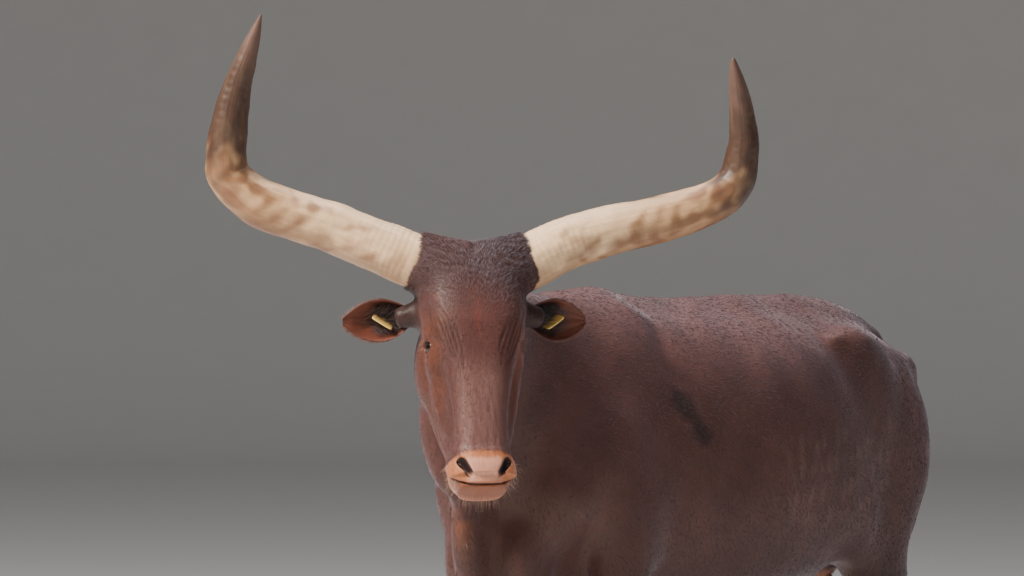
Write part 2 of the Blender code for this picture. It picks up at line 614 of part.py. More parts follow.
# Each horn from its root: the place x, y, z from the poll, level and turned with the head, and the radius.
HORN_SPREAD = 1.008
HORN_RIGHT = [
    (-0.1255, 0.000, 0.002, 0.0600), (-0.204, 0.008, 0.034, 0.0570), (-0.303, 0.020, 0.075, 0.0548),
    (-0.434, 0.030, 0.118, 0.0540), (-0.504, 0.030, 0.172, 0.0480), (-0.516, 0.024, 0.217, 0.0457),
    (-0.5085, 0.008, 0.300, 0.0400), (-0.498, -0.006, 0.3585, 0.0325), (-0.481, -0.024, 0.417, 0.0250),
    (-0.463, -0.044, 0.4766, 0.0145), (-0.452, -0.060, 0.516, 0.0040)]
HORN_LEFT = [
    (0.1255, 0.000, 0.000, 0.0600), (0.194, 0.008, 0.034, 0.0575), (0.2766, 0.018, 0.0596, 0.0555),
    (0.438, 0.030, 0.098, 0.0510), (0.534, 0.030, 0.132, 0.0460), (0.579, 0.026, 0.1766, 0.0420),
    (0.590, 0.014, 0.243, 0.0365), (0.587, 0.000, 0.296, 0.0305), (0.578, -0.016, 0.3426, 0.0255),
    (0.566, -0.034, 0.387, 0.0185), (0.556, -0.050, 0.423, 0.0095), (0.554, -0.056, 0.4345, 0.0040)]
EAR_LENGTH = 0.140
EAR_WIDTHS = [0.022, 0.034, 0.042, 0.0460, 0.0455, 0.042, 0.035, 0.0245, 0.009]
EAR_CUPS = [0.020, 0.026, 0.031, 0.033, 0.030, 0.025, 0.018, 0.011, 0.004]
EAR_THICK = 0.0050
# Each ear's way to its tip in the head's axes, and the way its cup opens.
EARS = {
    "right": ((-0.990, 0.060, 0.010), (-0.02, -0.960, -0.200)),
    "left": ((0.860, 0.480, 0.150), (0.380, -0.900, -0.180)),
}
TAG_STEP = 3
TAG_TILT = math.radians(38.0)
TAG_LONG, TAG_DEEP, TAG_STAND = 0.048, 0.030, 0.010
TAIL = [
    (0, 1.170, 1.206, 0.0255), (0, 1.196, 1.120, 0.0225), (0.003, 1.201, 1.000, 0.0190),
    (0.006, 1.199, 0.860, 0.0155), (0.008, 1.195, 0.730, 0.0125), (0.008, 1.190, 0.620, 0.0110)]
# The switch: a core of these reaches down and radii, and locks set round it in rows from the top down.
CORE_REACH = (0.0, 0.030, 0.070, 0.110, 0.140)
CORE_RADII = (0.0110, 0.0170, 0.0190, 0.0150, 0.0050)
LOCK_ROWS = ((0.014, 5, 0.200), (0.050, 5, 0.225), (0.088, 4, 0.235), (0.118, 3, 0.225))
LOCK_WIDE, LOCK_THICK, LOCK_SWELL = 0.024, 0.0080, 0.022


def horn_points(rows, steps=3):
    """The horn's centre line in the world, its radii, and a way that stays square to its bends."""
    samples = curve_through(np.array(rows) * (HORN_SPREAD, 1, 1, 1), steps)
    turn = np.array(Matrix.Rotation(HEAD_TURN, 3, "Z"))
    return samples[:, :3] @ turn.T + np.array(POLL), samples[:, 3], turn[:, 1]


def swept(centres, radii, sides, start_way=None, rise_hint=(0, 0, 1)):
    """Round rings of these radii, square to the line through the centres."""
    along = unit(np.gradient(centres, axis=0))
    if start_way is not None:
        along[0] = start_way
    across = unit(np.cross(rise_hint, along))
    rise = np.cross(along, across)
    return [ring_at(c, a, r, size, size, sides) for c, a, r, size in zip(centres, across, rise, radii)]


def cylinder(start, way, radius, length, sides=24):
    way = unit(np.array(way, float))
    across = unit(np.cross(way, (0.3, 0.2, 0.93)))
    rise = np.cross(way, across)
    rings = [ring_at(np.array(start) + way * reach, across, rise, radius, radius, sides) for reach in (0, length)]
    points, faces = loft(rings)
    return outward(add_object("cutter", points, faces))


def sphere(name, centre, radius, finish=None, rings=24, sides=32):
    mesh = bpy.data.meshes.new(name)
    made = bmesh.new()
    bmesh.ops.create_uvsphere(made, u_segments=sides, v_segments=rings, radius=radius,
                              matrix=Matrix.Translation(Vector(centre)))
    made.to_mesh(mesh)
    made.free()
    if finish:
        mesh.materials.append(finish)
    obj = bpy.data.objects.new(name, mesh)
    bpy.context.scene.collection.objects.link(obj)
    return obj


def wedge(planes, grow):
    """A closed block inside all of these planes, each given by a point and its inward way."""
    mesh = bpy.data.meshes.new("wedge")
    made = bmesh.new()
    bmesh.ops.create_cube(made, size=6.0)
    made.to_mesh(mesh)
    made.free()
    block = bpy.data.objects.new("wedge", mesh)
    bpy.context.scene.collection.objects.link(block)
    for point, way in planes:
        way = unit(np.array(way, float))
        keep_side(block, Vector(np.array(point) - way * grow), Vector(way))
    return block


def part_off(whole, name, planes):
    """Takes the piece inside the planes off the whole, with a gap round it."""
    piece = combine(copy_of(whole, name), wedge(planes, 0.0), "INTERSECT")
    largest_only(piece)
    combine(whole, wedge(planes, GAP), "DIFFERENCE")
    largest_only(whole)
    return piece


def flesh_skin(name, low, high, cell, triangles, finish):
    points, faces = skin_of(flesh_field, low, high, cell)
    points = settled(flesh_field, points, faces)
    obj = add_object(name, points, faces, finish)
    thin_to(obj, triangles)
    mended(obj)
    largest_only(obj)
    return obj


def leg_planes(kind, side):
    if kind == "foreleg":
        return [((side * 0.115, 0, 0), (side, 0, 0)), ((side * 0.115, 0, 0.70), (side * 0.846, 0, -0.533)),
                ((0, -0.30, 0), (0, 1, 0)), ((0, 0.06, 0), (0, -1, 0))]
    return [((side * 0.082, 0, 0), (side, 0, 0)), ((side * 0.082, 0, 0.82), (side * 0.72, 0, -0.69)),
            ((0, 0.62, 0.70), (0, 0.95, -0.316))]


def claws(name, side, centre_y, finish):
    """Both claws of a foot: flat soles, a sloping wall and a pointed toe."""
    made = []
    for part, away in (("outer", side), ("inner", -side)):
        rings = []
        for height, wide, toe, heel in CLAW_RINGS:
            angle = np.linspace(-np.pi / 2, np.pi / 2, 8)
            reach = np.where(np.sin(angle) < 0, toe, heel)
            x = np.append(CLEFT + (wide - CLEFT) * np.cos(angle) ** 0.8, CLEFT)
            y = np.append(np.sin(angle) * reach, 0.0)
            ring = np.stack([x, y, np.full(len(x), height)], 1)
            ring[:, 0] = side * LEG_SPREAD + away * ring[:, 0]
            ring[:, 1] += centre_y
            rings.append(ring)
        points, faces = loft(rings)
        made.append(outward(add_object(f"claw_{name}_{part}", points, faces, finish)))
    return made


def ear_frames(name, side):
    """The ear's middle line in the head's axes: each step's place, and its ways along, open and across."""
    first, last, opening = unit(np.array(EAR_WAY) * (side, 1, 1)), unit(np.array(EARS[name][0])), EARS[name][1]
    count = len(EAR_WIDTHS)
    share = (1 - np.linspace(0, 1, count)[:, None]) ** 1.5
    along = unit(first * share + last * (1 - share))
    steps = along[:-1] * EAR_LENGTH / (count - 1)
    at = np.array(EAR_SEAT) * (side, 1, 1) + first * GAP + np.vstack([np.zeros(3), np.cumsum(steps, 0)])
    opens = unit(np.array(opening) - along * (along @ np.array(opening))[:, None])
    return at, along, opens, np.cross(along, opens)


def ear(name, side, finish):
    """A cupped leaf: each ring runs along its back and returns along its front. The root's ring is filled."""
    rings = []
    angle = np.linspace(-np.pi / 2, np.pi / 2, 9)[:, None]
    for k, (at, along, opens, wide) in enumerate(zip(*ear_frames(name, side))):
        half, cup = EAR_WIDTHS[k], EAR_CUPS[k]
        hollow, rim = (cup - EAR_THICK * min(1, 2 * cup / 0.016), 0.93) if k else (-0.75 * cup, 1.0)
        back = at + wide * half * np.sin(angle) - opens * cup * np.cos(angle)
        front = at + wide * half * rim * np.sin(angle) - opens * hollow * np.cos(angle)
        rings.append(np.vstack([back, front[-2:0:-1]]))
    points, faces = loft([from_head(ring) for ring in rings])
    return outward(add_object(f"ear_{name}", points, faces, finish))


def tag_plate(centre, along, out, long, deep, thick):
    """A flat plate with cut corners, from its middle and its two ways."""
    normal = np.cross(along, out)
    cut = 0.30
    outline = [(-1 + cut, -1), (1 - cut, -1), (1, -1 + cut), (1, 1 - cut), (1 - cut, 1), (-1 + cut, 1),
               (-1, 1 - cut), (-1, -1 + cut)]
    rings = [[centre + along * x * long / 2 + out * y * deep / 2 + normal * z for x, y in outline]
             for z in (-thick / 2, thick / 2)]
    points, faces = loft(rings)
    return outward(add_object("plate", points, faces))


def fuse(name, pieces, finish, solver="EXACT"):
    """One closed body of these pieces, by a single union on their collection."""
    first, rest = pieces[0], pieces[1:]
    group = bpy.data.collections.new(name + "_pieces")
    for piece in rest:
        bpy.context.scene.collection.objects.unlink(piece)
        group.objects.link(piece)
    bpy.context.scene.collection.children.link(group)
    modifier = first.modifiers.new("union", "BOOLEAN")
    modifier.operation, modifier.operand_type, modifier.solver = "UNION", "COLLECTION", solver
    modifier.collection = group
    apply_modifiers(first)
    for piece in rest:
        bpy.data.objects.remove(piece)
    bpy.data.collections.remove(group)
    largest_only(first)
    first.name = name
    first.data.materials.clear()
    first.data.materials.append(finish)
    return first


def ear_tag(name, side, ear_object, finish):
    """A plate that stands tilted in the ear's cup, its pin through the ear and a round button behind."""
    at, along, opens, wide = (rows[TAG_STEP] for rows in ear_frames(name, side))
    long_way = along * math.cos(TAG_TILT) - wide * side * math.sin(TAG_TILT)
    out = unit(opens * 0.94 - np.cross(opens, long_way) * side * 0.34)
    back = at - opens * EAR_CUPS[TAG_STEP]
    turn = np.array(Matrix.Rotation(HEAD_TURN, 3, "Z") @ Matrix.Rotation(HEAD_NOD, 3, "X"))
    way = turn @ opens
    pin = cylinder(from_head(back - opens * 0.0035), way, 0.0030, 0.0035 + EAR_THICK + TAG_STAND + 0.004, 12)
    button = cylinder(from_head(back - opens * 0.0040), way, 0.0090, 0.0020, 16)
    middle = back + opens * (EAR_THICK + TAG_STAND) + out * TAG_DEEP / 2
    plate = tag_plate(from_head(middle), turn @ long_way, turn @ out, TAG_LONG, TAG_DEEP, 0.0030)
    hole = cylinder(from_head(back - opens * 0.03), way, 0.0030 + GAP, 0.06, 12)
    combine(ear_object, hole, "DIFFERENCE")
    return fuse(f"ear_tag_{name}", [pin, button, plate], finish)


def switch_lock(root, way, out, length, sway):
    """A flat lock from its root: it swells outward, hangs along the way, sways aside and thins to its tip."""
    t = np.linspace(0, 1, 5)[:, None]
    side = np.cross(way, out)
    line = root + way * length * t + out * LOCK_SWELL * np.sin(np.pi * t**0.8) + side * sway * t**2
    taper = np.array([0.75, 1.0, 0.90, 0.60, 0.06])
    rings = [ring_at(at, side, out, LOCK_WIDE / 2 * k, LOCK_THICK / 2 * k, 4) for at, k in zip(line, taper)]
    points, faces = loft(rings)
    return outward(add_object("lock", points, faces))


def tail_switch(end, way, finish):
    """The core at the tail's end with its rows of locks, each row turned from the one above."""
    centres = end + np.array(CORE_REACH)[:, None] * way
    centres[0] += way * GAP
    points, faces = loft(swept(centres, CORE_RADII, 10, way, (1, 0, 0)))
    pieces = [outward(add_object("core", points, faces))]
    across = unit(np.cross((1.0, 0, 0), way))
    rise = np.cross(way, across)
    draw = np.random.default_rng(7)
    for row, (down, count, length) in enumerate(LOCK_ROWS):
        radius = np.interp(down, CORE_REACH, CORE_RADII)
        for k in range(count):
            angle = 2 * np.pi * (k + 0.5 * (row % 2) + 0.15 * draw.uniform(-1, 1)) / count
            out = across * np.cos(angle) + rise * np.sin(angle)
            root = end + way * down + out * radius * 0.62
            grown = length * draw.uniform(0.86, 1.0)
            pieces.append(switch_lock(root, way, out, grown, draw.uniform(-0.02, 0.02)))
    return fuse("tail_switch", pieces, finish)


def build():
    for old in list(bpy.data.objects):
        bpy.data.objects.remove(old)
    coat = material("coat", (0.105, 0.042, 0.028), 0.55)
    ear_coat = material("ear_coat", (0.160, 0.062, 0.036), 0.65)
    horn = material("horn", (0.560, 0.450, 0.320), 0.45)
    claw = material("claw", (0.090, 0.070, 0.055), 0.45)
    eye = material("eye", (0.012, 0.008, 0.006), 0.08)
    tag = material("tag", (0.800, 0.480, 0.030), 0.45)
    switch = material("switch", (0.045, 0.022, 0.016), 0.6)
    skin = material("skin", (0.330, 0.170, 0.120), 0.6)

    torso = flesh_skin("torso", (-0.40, -0.80, 0.0), (0.40, 1.22, 1.56), 0.013, 7000, coat)
    head = flesh_skin("head", (-0.10, -0.96, 0.82), (0.42, -0.40, 1.56), 0.0045, 3600, coat)
    head_point = from_head(np.array((0, 0.10, 0.03)))
    head_way = unit(from_head(np.array((0, 0.10 + 0.96, 0.03 + 0.275))) - head_point)
    keep_side(head, Vector(head_point - head_way * GAP / 2), Vector(-head_way))
    keep_side(torso, Vector(head_point + head_way * GAP / 2), Vector(head_way))
    largest_only(head)
    largest_only(torso)
    neck = part_off(torso, "neck", [((0, -0.33, 1.10), (0, -0.80, 0.60))])

    for name, (rows, bumps, side, step) in LEGS.items():
        kind = name[:7]
        leg = part_off(torso, name, leg_planes(kind, side))
        keep_side(leg, Vector((0, 0, CORONET)), Vector((0, 0, 1)))
        largest_only(leg)
        foot_y = rows[-2][1] + step
        claws(("fore_" if kind == "foreleg" else "hind_") + name[8:], side, foot_y, claw)
    udder = part_off(torso, "udder", [((0.0815, 0, 0), (-1, 0, 0)), ((-0.0815, 0, 0), (1, 0, 0)),
                                      ((0, 0.69, 0), (0, 1, 0)), ((0, 0, 0.735), (0, 0, -1))])
    udder.data.materials.clear()
    udder.data.materials.append(skin)

    for side, name, rows in ((1, "left", HORN_LEFT), (-1, "right", HORN_RIGHT)):
        centres, radii, hint = horn_points(rows)
        way = unit(centres[1] - centres[0])
        combine(head, cylinder(centres[0], way, 0.085, 0.10, 40), "DIFFERENCE")
        centres[0] = centres[0] + way * GAP
        points, faces = loft(swept(centres, radii, 12, way, hint))
        outward(add_object(f"horn_{name}", points, faces, horn))
        seat = from_head(np.array(EAR_SEAT) * (side, 1, 1))
        ear_way = from_head((np.array(EAR_SEAT) + np.array(EAR_WAY)) * (side, 1, 1)) - seat
        combine(head, cylinder(seat, ear_way, 0.045, 0.10, 24), "DIFFERENCE")
        pinna = ear(name, side, ear_coat)
        ear_tag(name, side, pinna, tag)
        ball = from_head(np.array(EYE) * (side, 1, 1))
        combine(head, sphere("socket", ball, EYE_RADIUS + GAP, None, 16, 24), "DIFFERENCE")
        sphere(f"eye_{name}", ball, EYE_RADIUS, eye, 10, 14)
    largest_only(head)

    tail_rows = curve_through(np.array(TAIL), 3)
    way = unit(np.array(TAIL_WAY))
    combine(torso, cylinder(TAIL_SEAT, way, 0.036, 0.06, 24), "DIFFERENCE")
    largest_only(torso)
    centres = tail_rows[:, :3]
    centres[0] = np.array(TAIL_SEAT) + way * GAP
    points, faces = loft(swept(centres, tail_rows[:, 3], 10, way, (1, 0, 0)))
    outward(add_object("tail", points, faces, coat))
    tail_switch(centres[-1], unit(centres[-1] - centres[-2]), switch)

    for obj in bpy.context.scene.objects:
        obj.location = (-MIDDLE[0], -MIDDLE[1], -MIDDLE[2])
    bpy.context.view_layer.update()


if __name__ == "__main__":
    build()
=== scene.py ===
"""A life-size ankole-watusi cow, standing with its head turned to its left, on a pale studio floor.

Metres, +Z up. Places are written from a point on the floor under the withers, as in the part's source, and
each mesh is moved by MIDDLE when it is made. The flesh is one closed skin drawn from blended forms, and the
coat is joined tufts whose roots lie on that skin.
"""

import math

import bmesh
import bpy
import numpy as np
from mathutils import Matrix, Vector


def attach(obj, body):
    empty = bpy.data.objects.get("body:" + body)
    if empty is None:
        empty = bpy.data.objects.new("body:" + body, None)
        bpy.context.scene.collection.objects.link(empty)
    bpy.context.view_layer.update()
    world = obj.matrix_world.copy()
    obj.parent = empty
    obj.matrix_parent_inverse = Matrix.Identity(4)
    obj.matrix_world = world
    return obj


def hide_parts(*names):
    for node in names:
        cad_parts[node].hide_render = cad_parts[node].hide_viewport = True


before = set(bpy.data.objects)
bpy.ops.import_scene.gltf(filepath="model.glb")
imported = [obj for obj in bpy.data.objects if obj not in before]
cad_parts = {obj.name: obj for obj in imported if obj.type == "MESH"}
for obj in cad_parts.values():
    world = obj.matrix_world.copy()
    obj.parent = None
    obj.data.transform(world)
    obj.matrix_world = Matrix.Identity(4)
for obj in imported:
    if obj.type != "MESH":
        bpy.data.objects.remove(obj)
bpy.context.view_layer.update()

# The photograph's view, from the animal's front left.
VIEW_TURN = math.radians(39.0)
VIEW_STAND = 9.0
VIEW_SIDE = 0.087
VIEW_HEIGHT = 1.38
LENS, SENSOR = 148.7, 36.0

# Driving dimensions of the animal: the reach of its feet to each side, the middle of the line between
# its horns, the head's turn to its left, its nod, and the eyeball.
LEG_SPREAD = 0.158
POLL = (0.160, -0.616, 1.437)
HEAD_TURN = math.radians(48.5)
HEAD_NOD = math.radians(-14.0)
EYE_RADIUS = 0.0205

# The point of the floor under the middle of the model's box.
MIDDLE = (0.131, 0.0835, 0.0)

# Blended forms further off than this don't reach each other.
FAR = 0.30


def curve_through(rows, steps):
    """A Catmull-Rom curve through the rows, with this many samples to each span."""
    rows = np.asarray(rows, float)
    ends = np.vstack([2 * rows[0] - rows[1], rows, 2 * rows[-1] - rows[-2]])
    t = np.linspace(0, 1, steps, endpoint=False)[:, None]
    spans = []
    for a, b, c, d in zip(ends[:-3], ends[1:-2], ends[2:-1], ends[3:]):
        spans.append(0.5 * (2 * b + (c - a) * t + (2 * a - 5 * b + 4 * c - d) * t**2
                            + (3 * b - a - 3 * c + d) * t**3))
    return np.vstack(spans + [rows[-1:]])


def unit(v):
    return v / np.linalg.norm(v, axis=-1, keepdims=True)


class Tube:
    """An oval swept along a smooth path.

    A row is the centre x, y, z, the half width, the reach up or back, and the reach down or forward.
    """

    def __init__(self, rows, cap, power=2.0, steps=5):
        samples = curve_through(rows, steps)
        self.centre = samples[:, :3]
        self.reach = np.maximum(samples[:, 3:6], 0.002)
        self.cap, self.power = cap, power
        self.along = unit(np.gradient(self.centre, axis=0))
        across = np.array([1.0, 0.0, 0.0]) - self.along * self.along[:, :1]
        self.across = unit(across)
        self.rise = np.cross(self.across, self.along)
        self.low = (self.centre - self.reach.max(1)[:, None]).min(0) - cap
        self.high = (self.centre + self.reach.max(1)[:, None]).max(0) + cap

    def __call__(self, p):
        start, span = self.centre[:-1], np.diff(self.centre, axis=0)
        length = (span**2).sum(1)
        t = np.clip((p @ span.T - (start * span).sum(1)) / length, 0, 1)
        gap = ((p[:, None] - start - t[..., None] * span) ** 2).sum(2)
        k = gap.argmin(1)
        t = t[np.arange(len(p)), k][:, None]

        def between(values):
            return values[k] * (1 - t) + values[k + 1] * t

        offset = p - between(self.centre)
        reach = between(self.reach)
        side = (offset * between(self.across)).sum(1)
        rise = (offset * between(self.rise)).sum(1)
        end = (offset * between(self.along)).sum(1)
        tall = np.where(rise > 0, reach[:, 1], reach[:, 2])
        n = self.power
        ratio = np.abs(side / reach[:, 0]) ** n + np.abs(rise / tall) ** n + np.abs(end / self.cap) ** n
        ratio = np.maximum(ratio, 1e-12) ** (1 / n)
        size = np.sqrt((offset**2).sum(1))
        return np.where(ratio > 1e-3, size - size / ratio, -reach.min(1))


class Ball:
    """An ellipsoid, turned by degrees about x, y and z."""

    def __init__(self, centre, radii, turn=(0, 0, 0)):
        self.centre, self.radii = np.array(centre), np.array(radii)
        self.turn = np.array(Matrix.Rotation(math.radians(turn[2]), 3, "Z")
                             @ Matrix.Rotation(math.radians(turn[1]), 3, "Y")
                             @ Matrix.Rotation(math.radians(turn[0]), 3, "X"))
        self.low, self.high = self.centre - self.radii.max(), self.centre + self.radii.max()

    def __call__(self, p):
        q = (p - self.centre) @ self.turn
        near = np.sqrt(((q / self.radii) ** 2).sum(1)) + 1e-9
        steep = np.sqrt(((q / self.radii**2) ** 2).sum(1)) + 1e-9
        return near * (near - 1) / steep


def join(a, b, blend):
    """Smooth union: the smaller of both, rounded over this width where they meet."""
    h = np.clip(0.5 + 0.5 * (b - a) / blend, 0, 1)
    return b * (1 - h) + a * h - blend * h * (1 - h)


def blended(forms, p):
    """The forms joined one after another, each with its own blend width."""
    d = np.full(len(p), FAR)
    for shape, blend in forms:
        margin = blend + 0.03
        near = ((p > shape.low - margin) & (p < shape.high + margin)).all(1)
        if near.any():
            d[near] = join(d[near], shape(p[near]), blend)
    return d


# The trunk, neck and dewlap. Rows run from front to back.
TRUNK = Tube([
    (0, -0.39, 0.870, 0.050, 0.110, 0.130),
    (0, -0.33, 0.905, 0.118, 0.230, 0.225),
    (0, -0.20, 0.945, 0.178, 0.340, 0.295),
    (0, -0.05, 0.965, 0.220, 0.378, 0.315),
    (0, 0.14, 0.970, 0.262, 0.372, 0.335),
    (0, 0.36, 0.975, 0.300, 0.362, 0.350),
    (0, 0.59, 0.985, 0.300, 0.358, 0.340),
    (0, 0.77, 1.020, 0.262, 0.325, 0.295),
    (0, 0.92, 1.050, 0.222, 0.286, 0.225),
    (0, 1.04, 1.070, 0.178, 0.225, 0.180),
    (0, 1.11, 1.080, 0.120, 0.150, 0.140),
], cap=0.045, power=2.15)

SPINE = Tube([
    (0, -0.12, 1.300, 0.045, 0.042, 0.060),
    (0, 0.00, 1.326, 0.040, 0.044, 0.060),
    (0, 0.06, 1.324, 0.040, 0.042, 0.060),
    (0, 0.16, 1.312, 0.040, 0.040, 0.050),
    (0, 0.40, 1.314, 0.045, 0.038, 0.050),
    (0, 0.66, 1.320, 0.050, 0.038, 0.050),
    (0, 0.84, 1.318, 0.055, 0.038, 0.050),
    (0, 0.96, 1.298, 0.052, 0.036, 0.050),
    (0, 1.04, 1.270, 0.042, 0.036, 0.050),
], cap=0.04)

NECK = Tube([
    (0.100, -0.560, 1.285, 0.078, 0.118, 0.130),
    (0.066, -0.460, 1.250, 0.090, 0.142, 0.170),
    (0.032, -0.340, 1.205, 0.112, 0.180, 0.225),
    (0.008, -0.200, 1.150, 0.140, 0.215, 0.270),
    (0.0, -0.040, 1.110, 0.160, 0.235, 0.250),
], cap=0.05, power=2.2, steps=10)

DEWLAP = Tube([
    (0.085, -0.530, 1.140, 0.030, 0.060, 0.030),
    (0.068, -0.535, 1.040, 0.024, 0.090, 0.026),
    (0.046, -0.512, 0.930, 0.024, 0.110, 0.024),
    (0.024, -0.475, 0.810, 0.030, 0.110, 0.028),
    (0.004, -0.400, 0.695, 0.038, 0.110, 0.030),
    (0.0, -0.250, 0.645, 0.045, 0.090, 0.028),
    (0.0, -0.080, 0.655, 0.045, 0.060, 0.022),
], cap=0.02, steps=10)

# Bones and muscles of the left side, which the right side repeats.
SIDE_FORMS = [
    (Tube([(0.085, 0.035, 1.275, 0.038, 0.080, 0.080), (0.128, -0.070, 1.155, 0.046, 0.090, 0.095),
           (0.160, -0.190, 1.010, 0.048, 0.080, 0.085), (0.150, -0.270, 0.930, 0.040, 0.055, 0.055)],
          cap=0.04), 0.07),
    (Ball((0.176, -0.105, 0.950), (0.060, 0.135, 0.155), (20, 0, 0)), 0.08),
    (Ball((0.128, -0.290, 0.905), (0.048, 0.054, 0.080)), 0.09),
    (Ball((0.064, -0.325, 0.775), (0.068, 0.080, 0.110)), 0.09),
    (Ball((0.190, 0.750, 1.240), (0.030, 0.085, 0.034), (-15, 35, 0)), 0.11),
    (Ball((0.096, 1.096, 1.165), (0.034, 0.036, 0.045)), 0.07),
    (Tube([(0.186, 0.770, 1.232, 0.026, 0.026, 0.026), (0.150, 0.920, 1.212, 0.028, 0.028, 0.028),
           (0.096, 1.090, 1.172, 0.028, 0.028, 0.028)], cap=0.02), 0.10),
    (Ball((0.200, 0.790, 1.060), (0.050, 0.115, 0.160), (-15, 0, 0)), 0.08),
    (Ball((0.152, 0.985, 1.020), (0.082, 0.125, 0.185), (10, 0, 0)), 0.07),
    (Ball((0.195, 0.765, 0.820), (0.052, 0.080, 0.105), (20, 0, 0)), 0.06),
    (Tube([(0.215, 0.745, 0.840, 0.028, 0.050, 0.040), (0.248, 0.640, 0.850, 0.026, 0.040, 0.035),
           (0.255, 0.540, 0.880, 0.016, 0.030, 0.030)], cap=0.02), 0.08),
]

# Legs, from the top down: half width, reach back and reach forward. Each foot is set forward or back
# of the square stance by the steps below, for a natural stand.
FORELEG = [
    (0.185, -0.105, 0.900, 0.050, 0.100, 0.100),
    (0.183, -0.110, 0.800, 0.058, 0.092, 0.092),
    (0.176, -0.130, 0.690, 0.054, 0.072, 0.070),
    (0.168, -0.148, 0.570, 0.043, 0.050, 0.052),
    (0.163, -0.158, 0.470, 0.042, 0.042, 0.046),
    (0.160, -0.162, 0.415, 0.046, 0.044, 0.050),
    (0.158, -0.156, 0.355, 0.035, 0.038, 0.036),
    (0.158, -0.152, 0.275, 0.029, 0.033, 0.031),
    (0.158, -0.152, 0.195, 0.031, 0.037, 0.033),
    (0.158, -0.156, 0.150, 0.042, 0.044, 0.041),
    (0.158, -0.174, 0.105, 0.038, 0.036, 0.034),
    (0.158, -0.190, 0.070, 0.047, 0.048, 0.046),
    (0.158, -0.200, 0.035, 0.047, 0.048, 0.046),
]
HINDLEG = [
    (0.130, 0.885, 1.080, 0.085, 0.190, 0.170),
    (0.148, 0.890, 0.960, 0.096, 0.205, 0.180),
    (0.160, 0.890, 0.850, 0.088, 0.175, 0.175),
    (0.162, 0.915, 0.740, 0.068, 0.120, 0.130),
    (0.159, 0.970, 0.645, 0.050, 0.082, 0.080),
    (0.157, 1.025, 0.575, 0.041, 0.068, 0.058),
    (0.156, 1.057, 0.510, 0.042, 0.052, 0.056),
    (0.156, 1.057, 0.440, 0.036, 0.044, 0.044),
    (0.157, 1.047, 0.340, 0.031, 0.038, 0.034),
    (0.158, 1.037, 0.230, 0.032, 0.038, 0.035),
    (0.158, 1.025, 0.165, 0.043, 0.046, 0.043),
    (0.158, 1.003, 0.112, 0.038, 0.037, 0.035),
    (0.158, 0.985, 0.070, 0.047, 0.048, 0.046),
    (0.158, 0.975, 0.035, 0.047, 0.048, 0.046),
]
FORE_BUMPS = [
    (Ball((0.160, -0.195, 0.420), (0.030, 0.022, 0.045)), 0.03),
    (Ball((0.180, -0.030, 0.800), (0.030, 0.045, 0.045)), 0.04),
    (Ball((0.178, -0.112, 0.122), (0.013, 0.012, 0.017), (20, 0, 0)), 0.010),
    (Ball((0.138, -0.112, 0.122), (0.013, 0.012, 0.017), (20, 0, 0)), 0.010),
]
HIND_BUMPS = [
    (Ball((0.156, 1.117, 0.578), (0.020, 0.024, 0.040), (-12, 0, 0)), 0.035),
    (Ball((0.184, 1.045, 0.505), (0.016, 0.035, 0.035)), 0.03),
    (Ball((0.178, 1.060, 0.130), (0.013, 0.012, 0.018), (20, 0, 0)), 0.010),
    (Ball((0.138, 1.060, 0.130), (0.013, 0.012, 0.018), (20, 0, 0)), 0.010),
]
# Each foot's name, its rows, its bumps, the side it stands on and its step forward (-) or back (+).
LEGS = {
    "foreleg_left": (FORELEG, FORE_BUMPS, 1, 0.020),
    "foreleg_right": (FORELEG, FORE_BUMPS, -1, -0.050),
    "hindleg_left": (HINDLEG, HIND_BUMPS, 1, -0.060),
    "hindleg_right": (HINDLEG, HIND_BUMPS, -1, 0.040),
}
LEG_TOP = {"foreleg": 0.62, "hindleg": 0.86}
CORONET = 0.066
# A claw from the sole up: height, half the foot's width, reach to the toe and reach to the heel.

UDDER = Tube([
    (0, 0.700, 0.740, 0.060, 0.050, 0.035),
    (0, 0.790, 0.735, 0.078, 0.070, 0.070),
    (0, 0.880, 0.745, 0.078, 0.080, 0.075),
    (0, 0.960, 0.790, 0.060, 0.070, 0.050),
], cap=0.05)
TEATS = [(0.045, 0.780, 0.655), (0.045, 0.870, 0.660)]
TAIL_WAY = (0, 0.40, -0.92)


def stepped(rows, side, step, top):
    """A leg's rows on their side, with the foot moved by its step and the top left in place."""
    rows = np.array(rows, float)
    share = np.clip((top - rows[:, 2]) / (top - 0.10), 0, 1)
    rows[:, 1] += step * share
    rows[:, 0] *= side
    return rows


def stepped_bumps(bumps, side, step, top):
    made = []
    for ball, blend in bumps:
        share = min(max((top - ball.centre[2]) / (top - 0.10), 0), 1)
        centre = ball.centre * (side, 1, 1) + (0, step * share, 0)
        copy = Ball(centre, ball.radii)
        copy.turn = ball.turn
        made.append((copy, blend))
    return made


def leg_forms(name):
    rows, bumps, side, step = LEGS[name]
    top = LEG_TOP[name[:7]]
    forms = [(Tube(stepped(rows, side, step, top), cap=0.05), 0.05)]
    return forms + stepped_bumps(bumps, side, step, top)


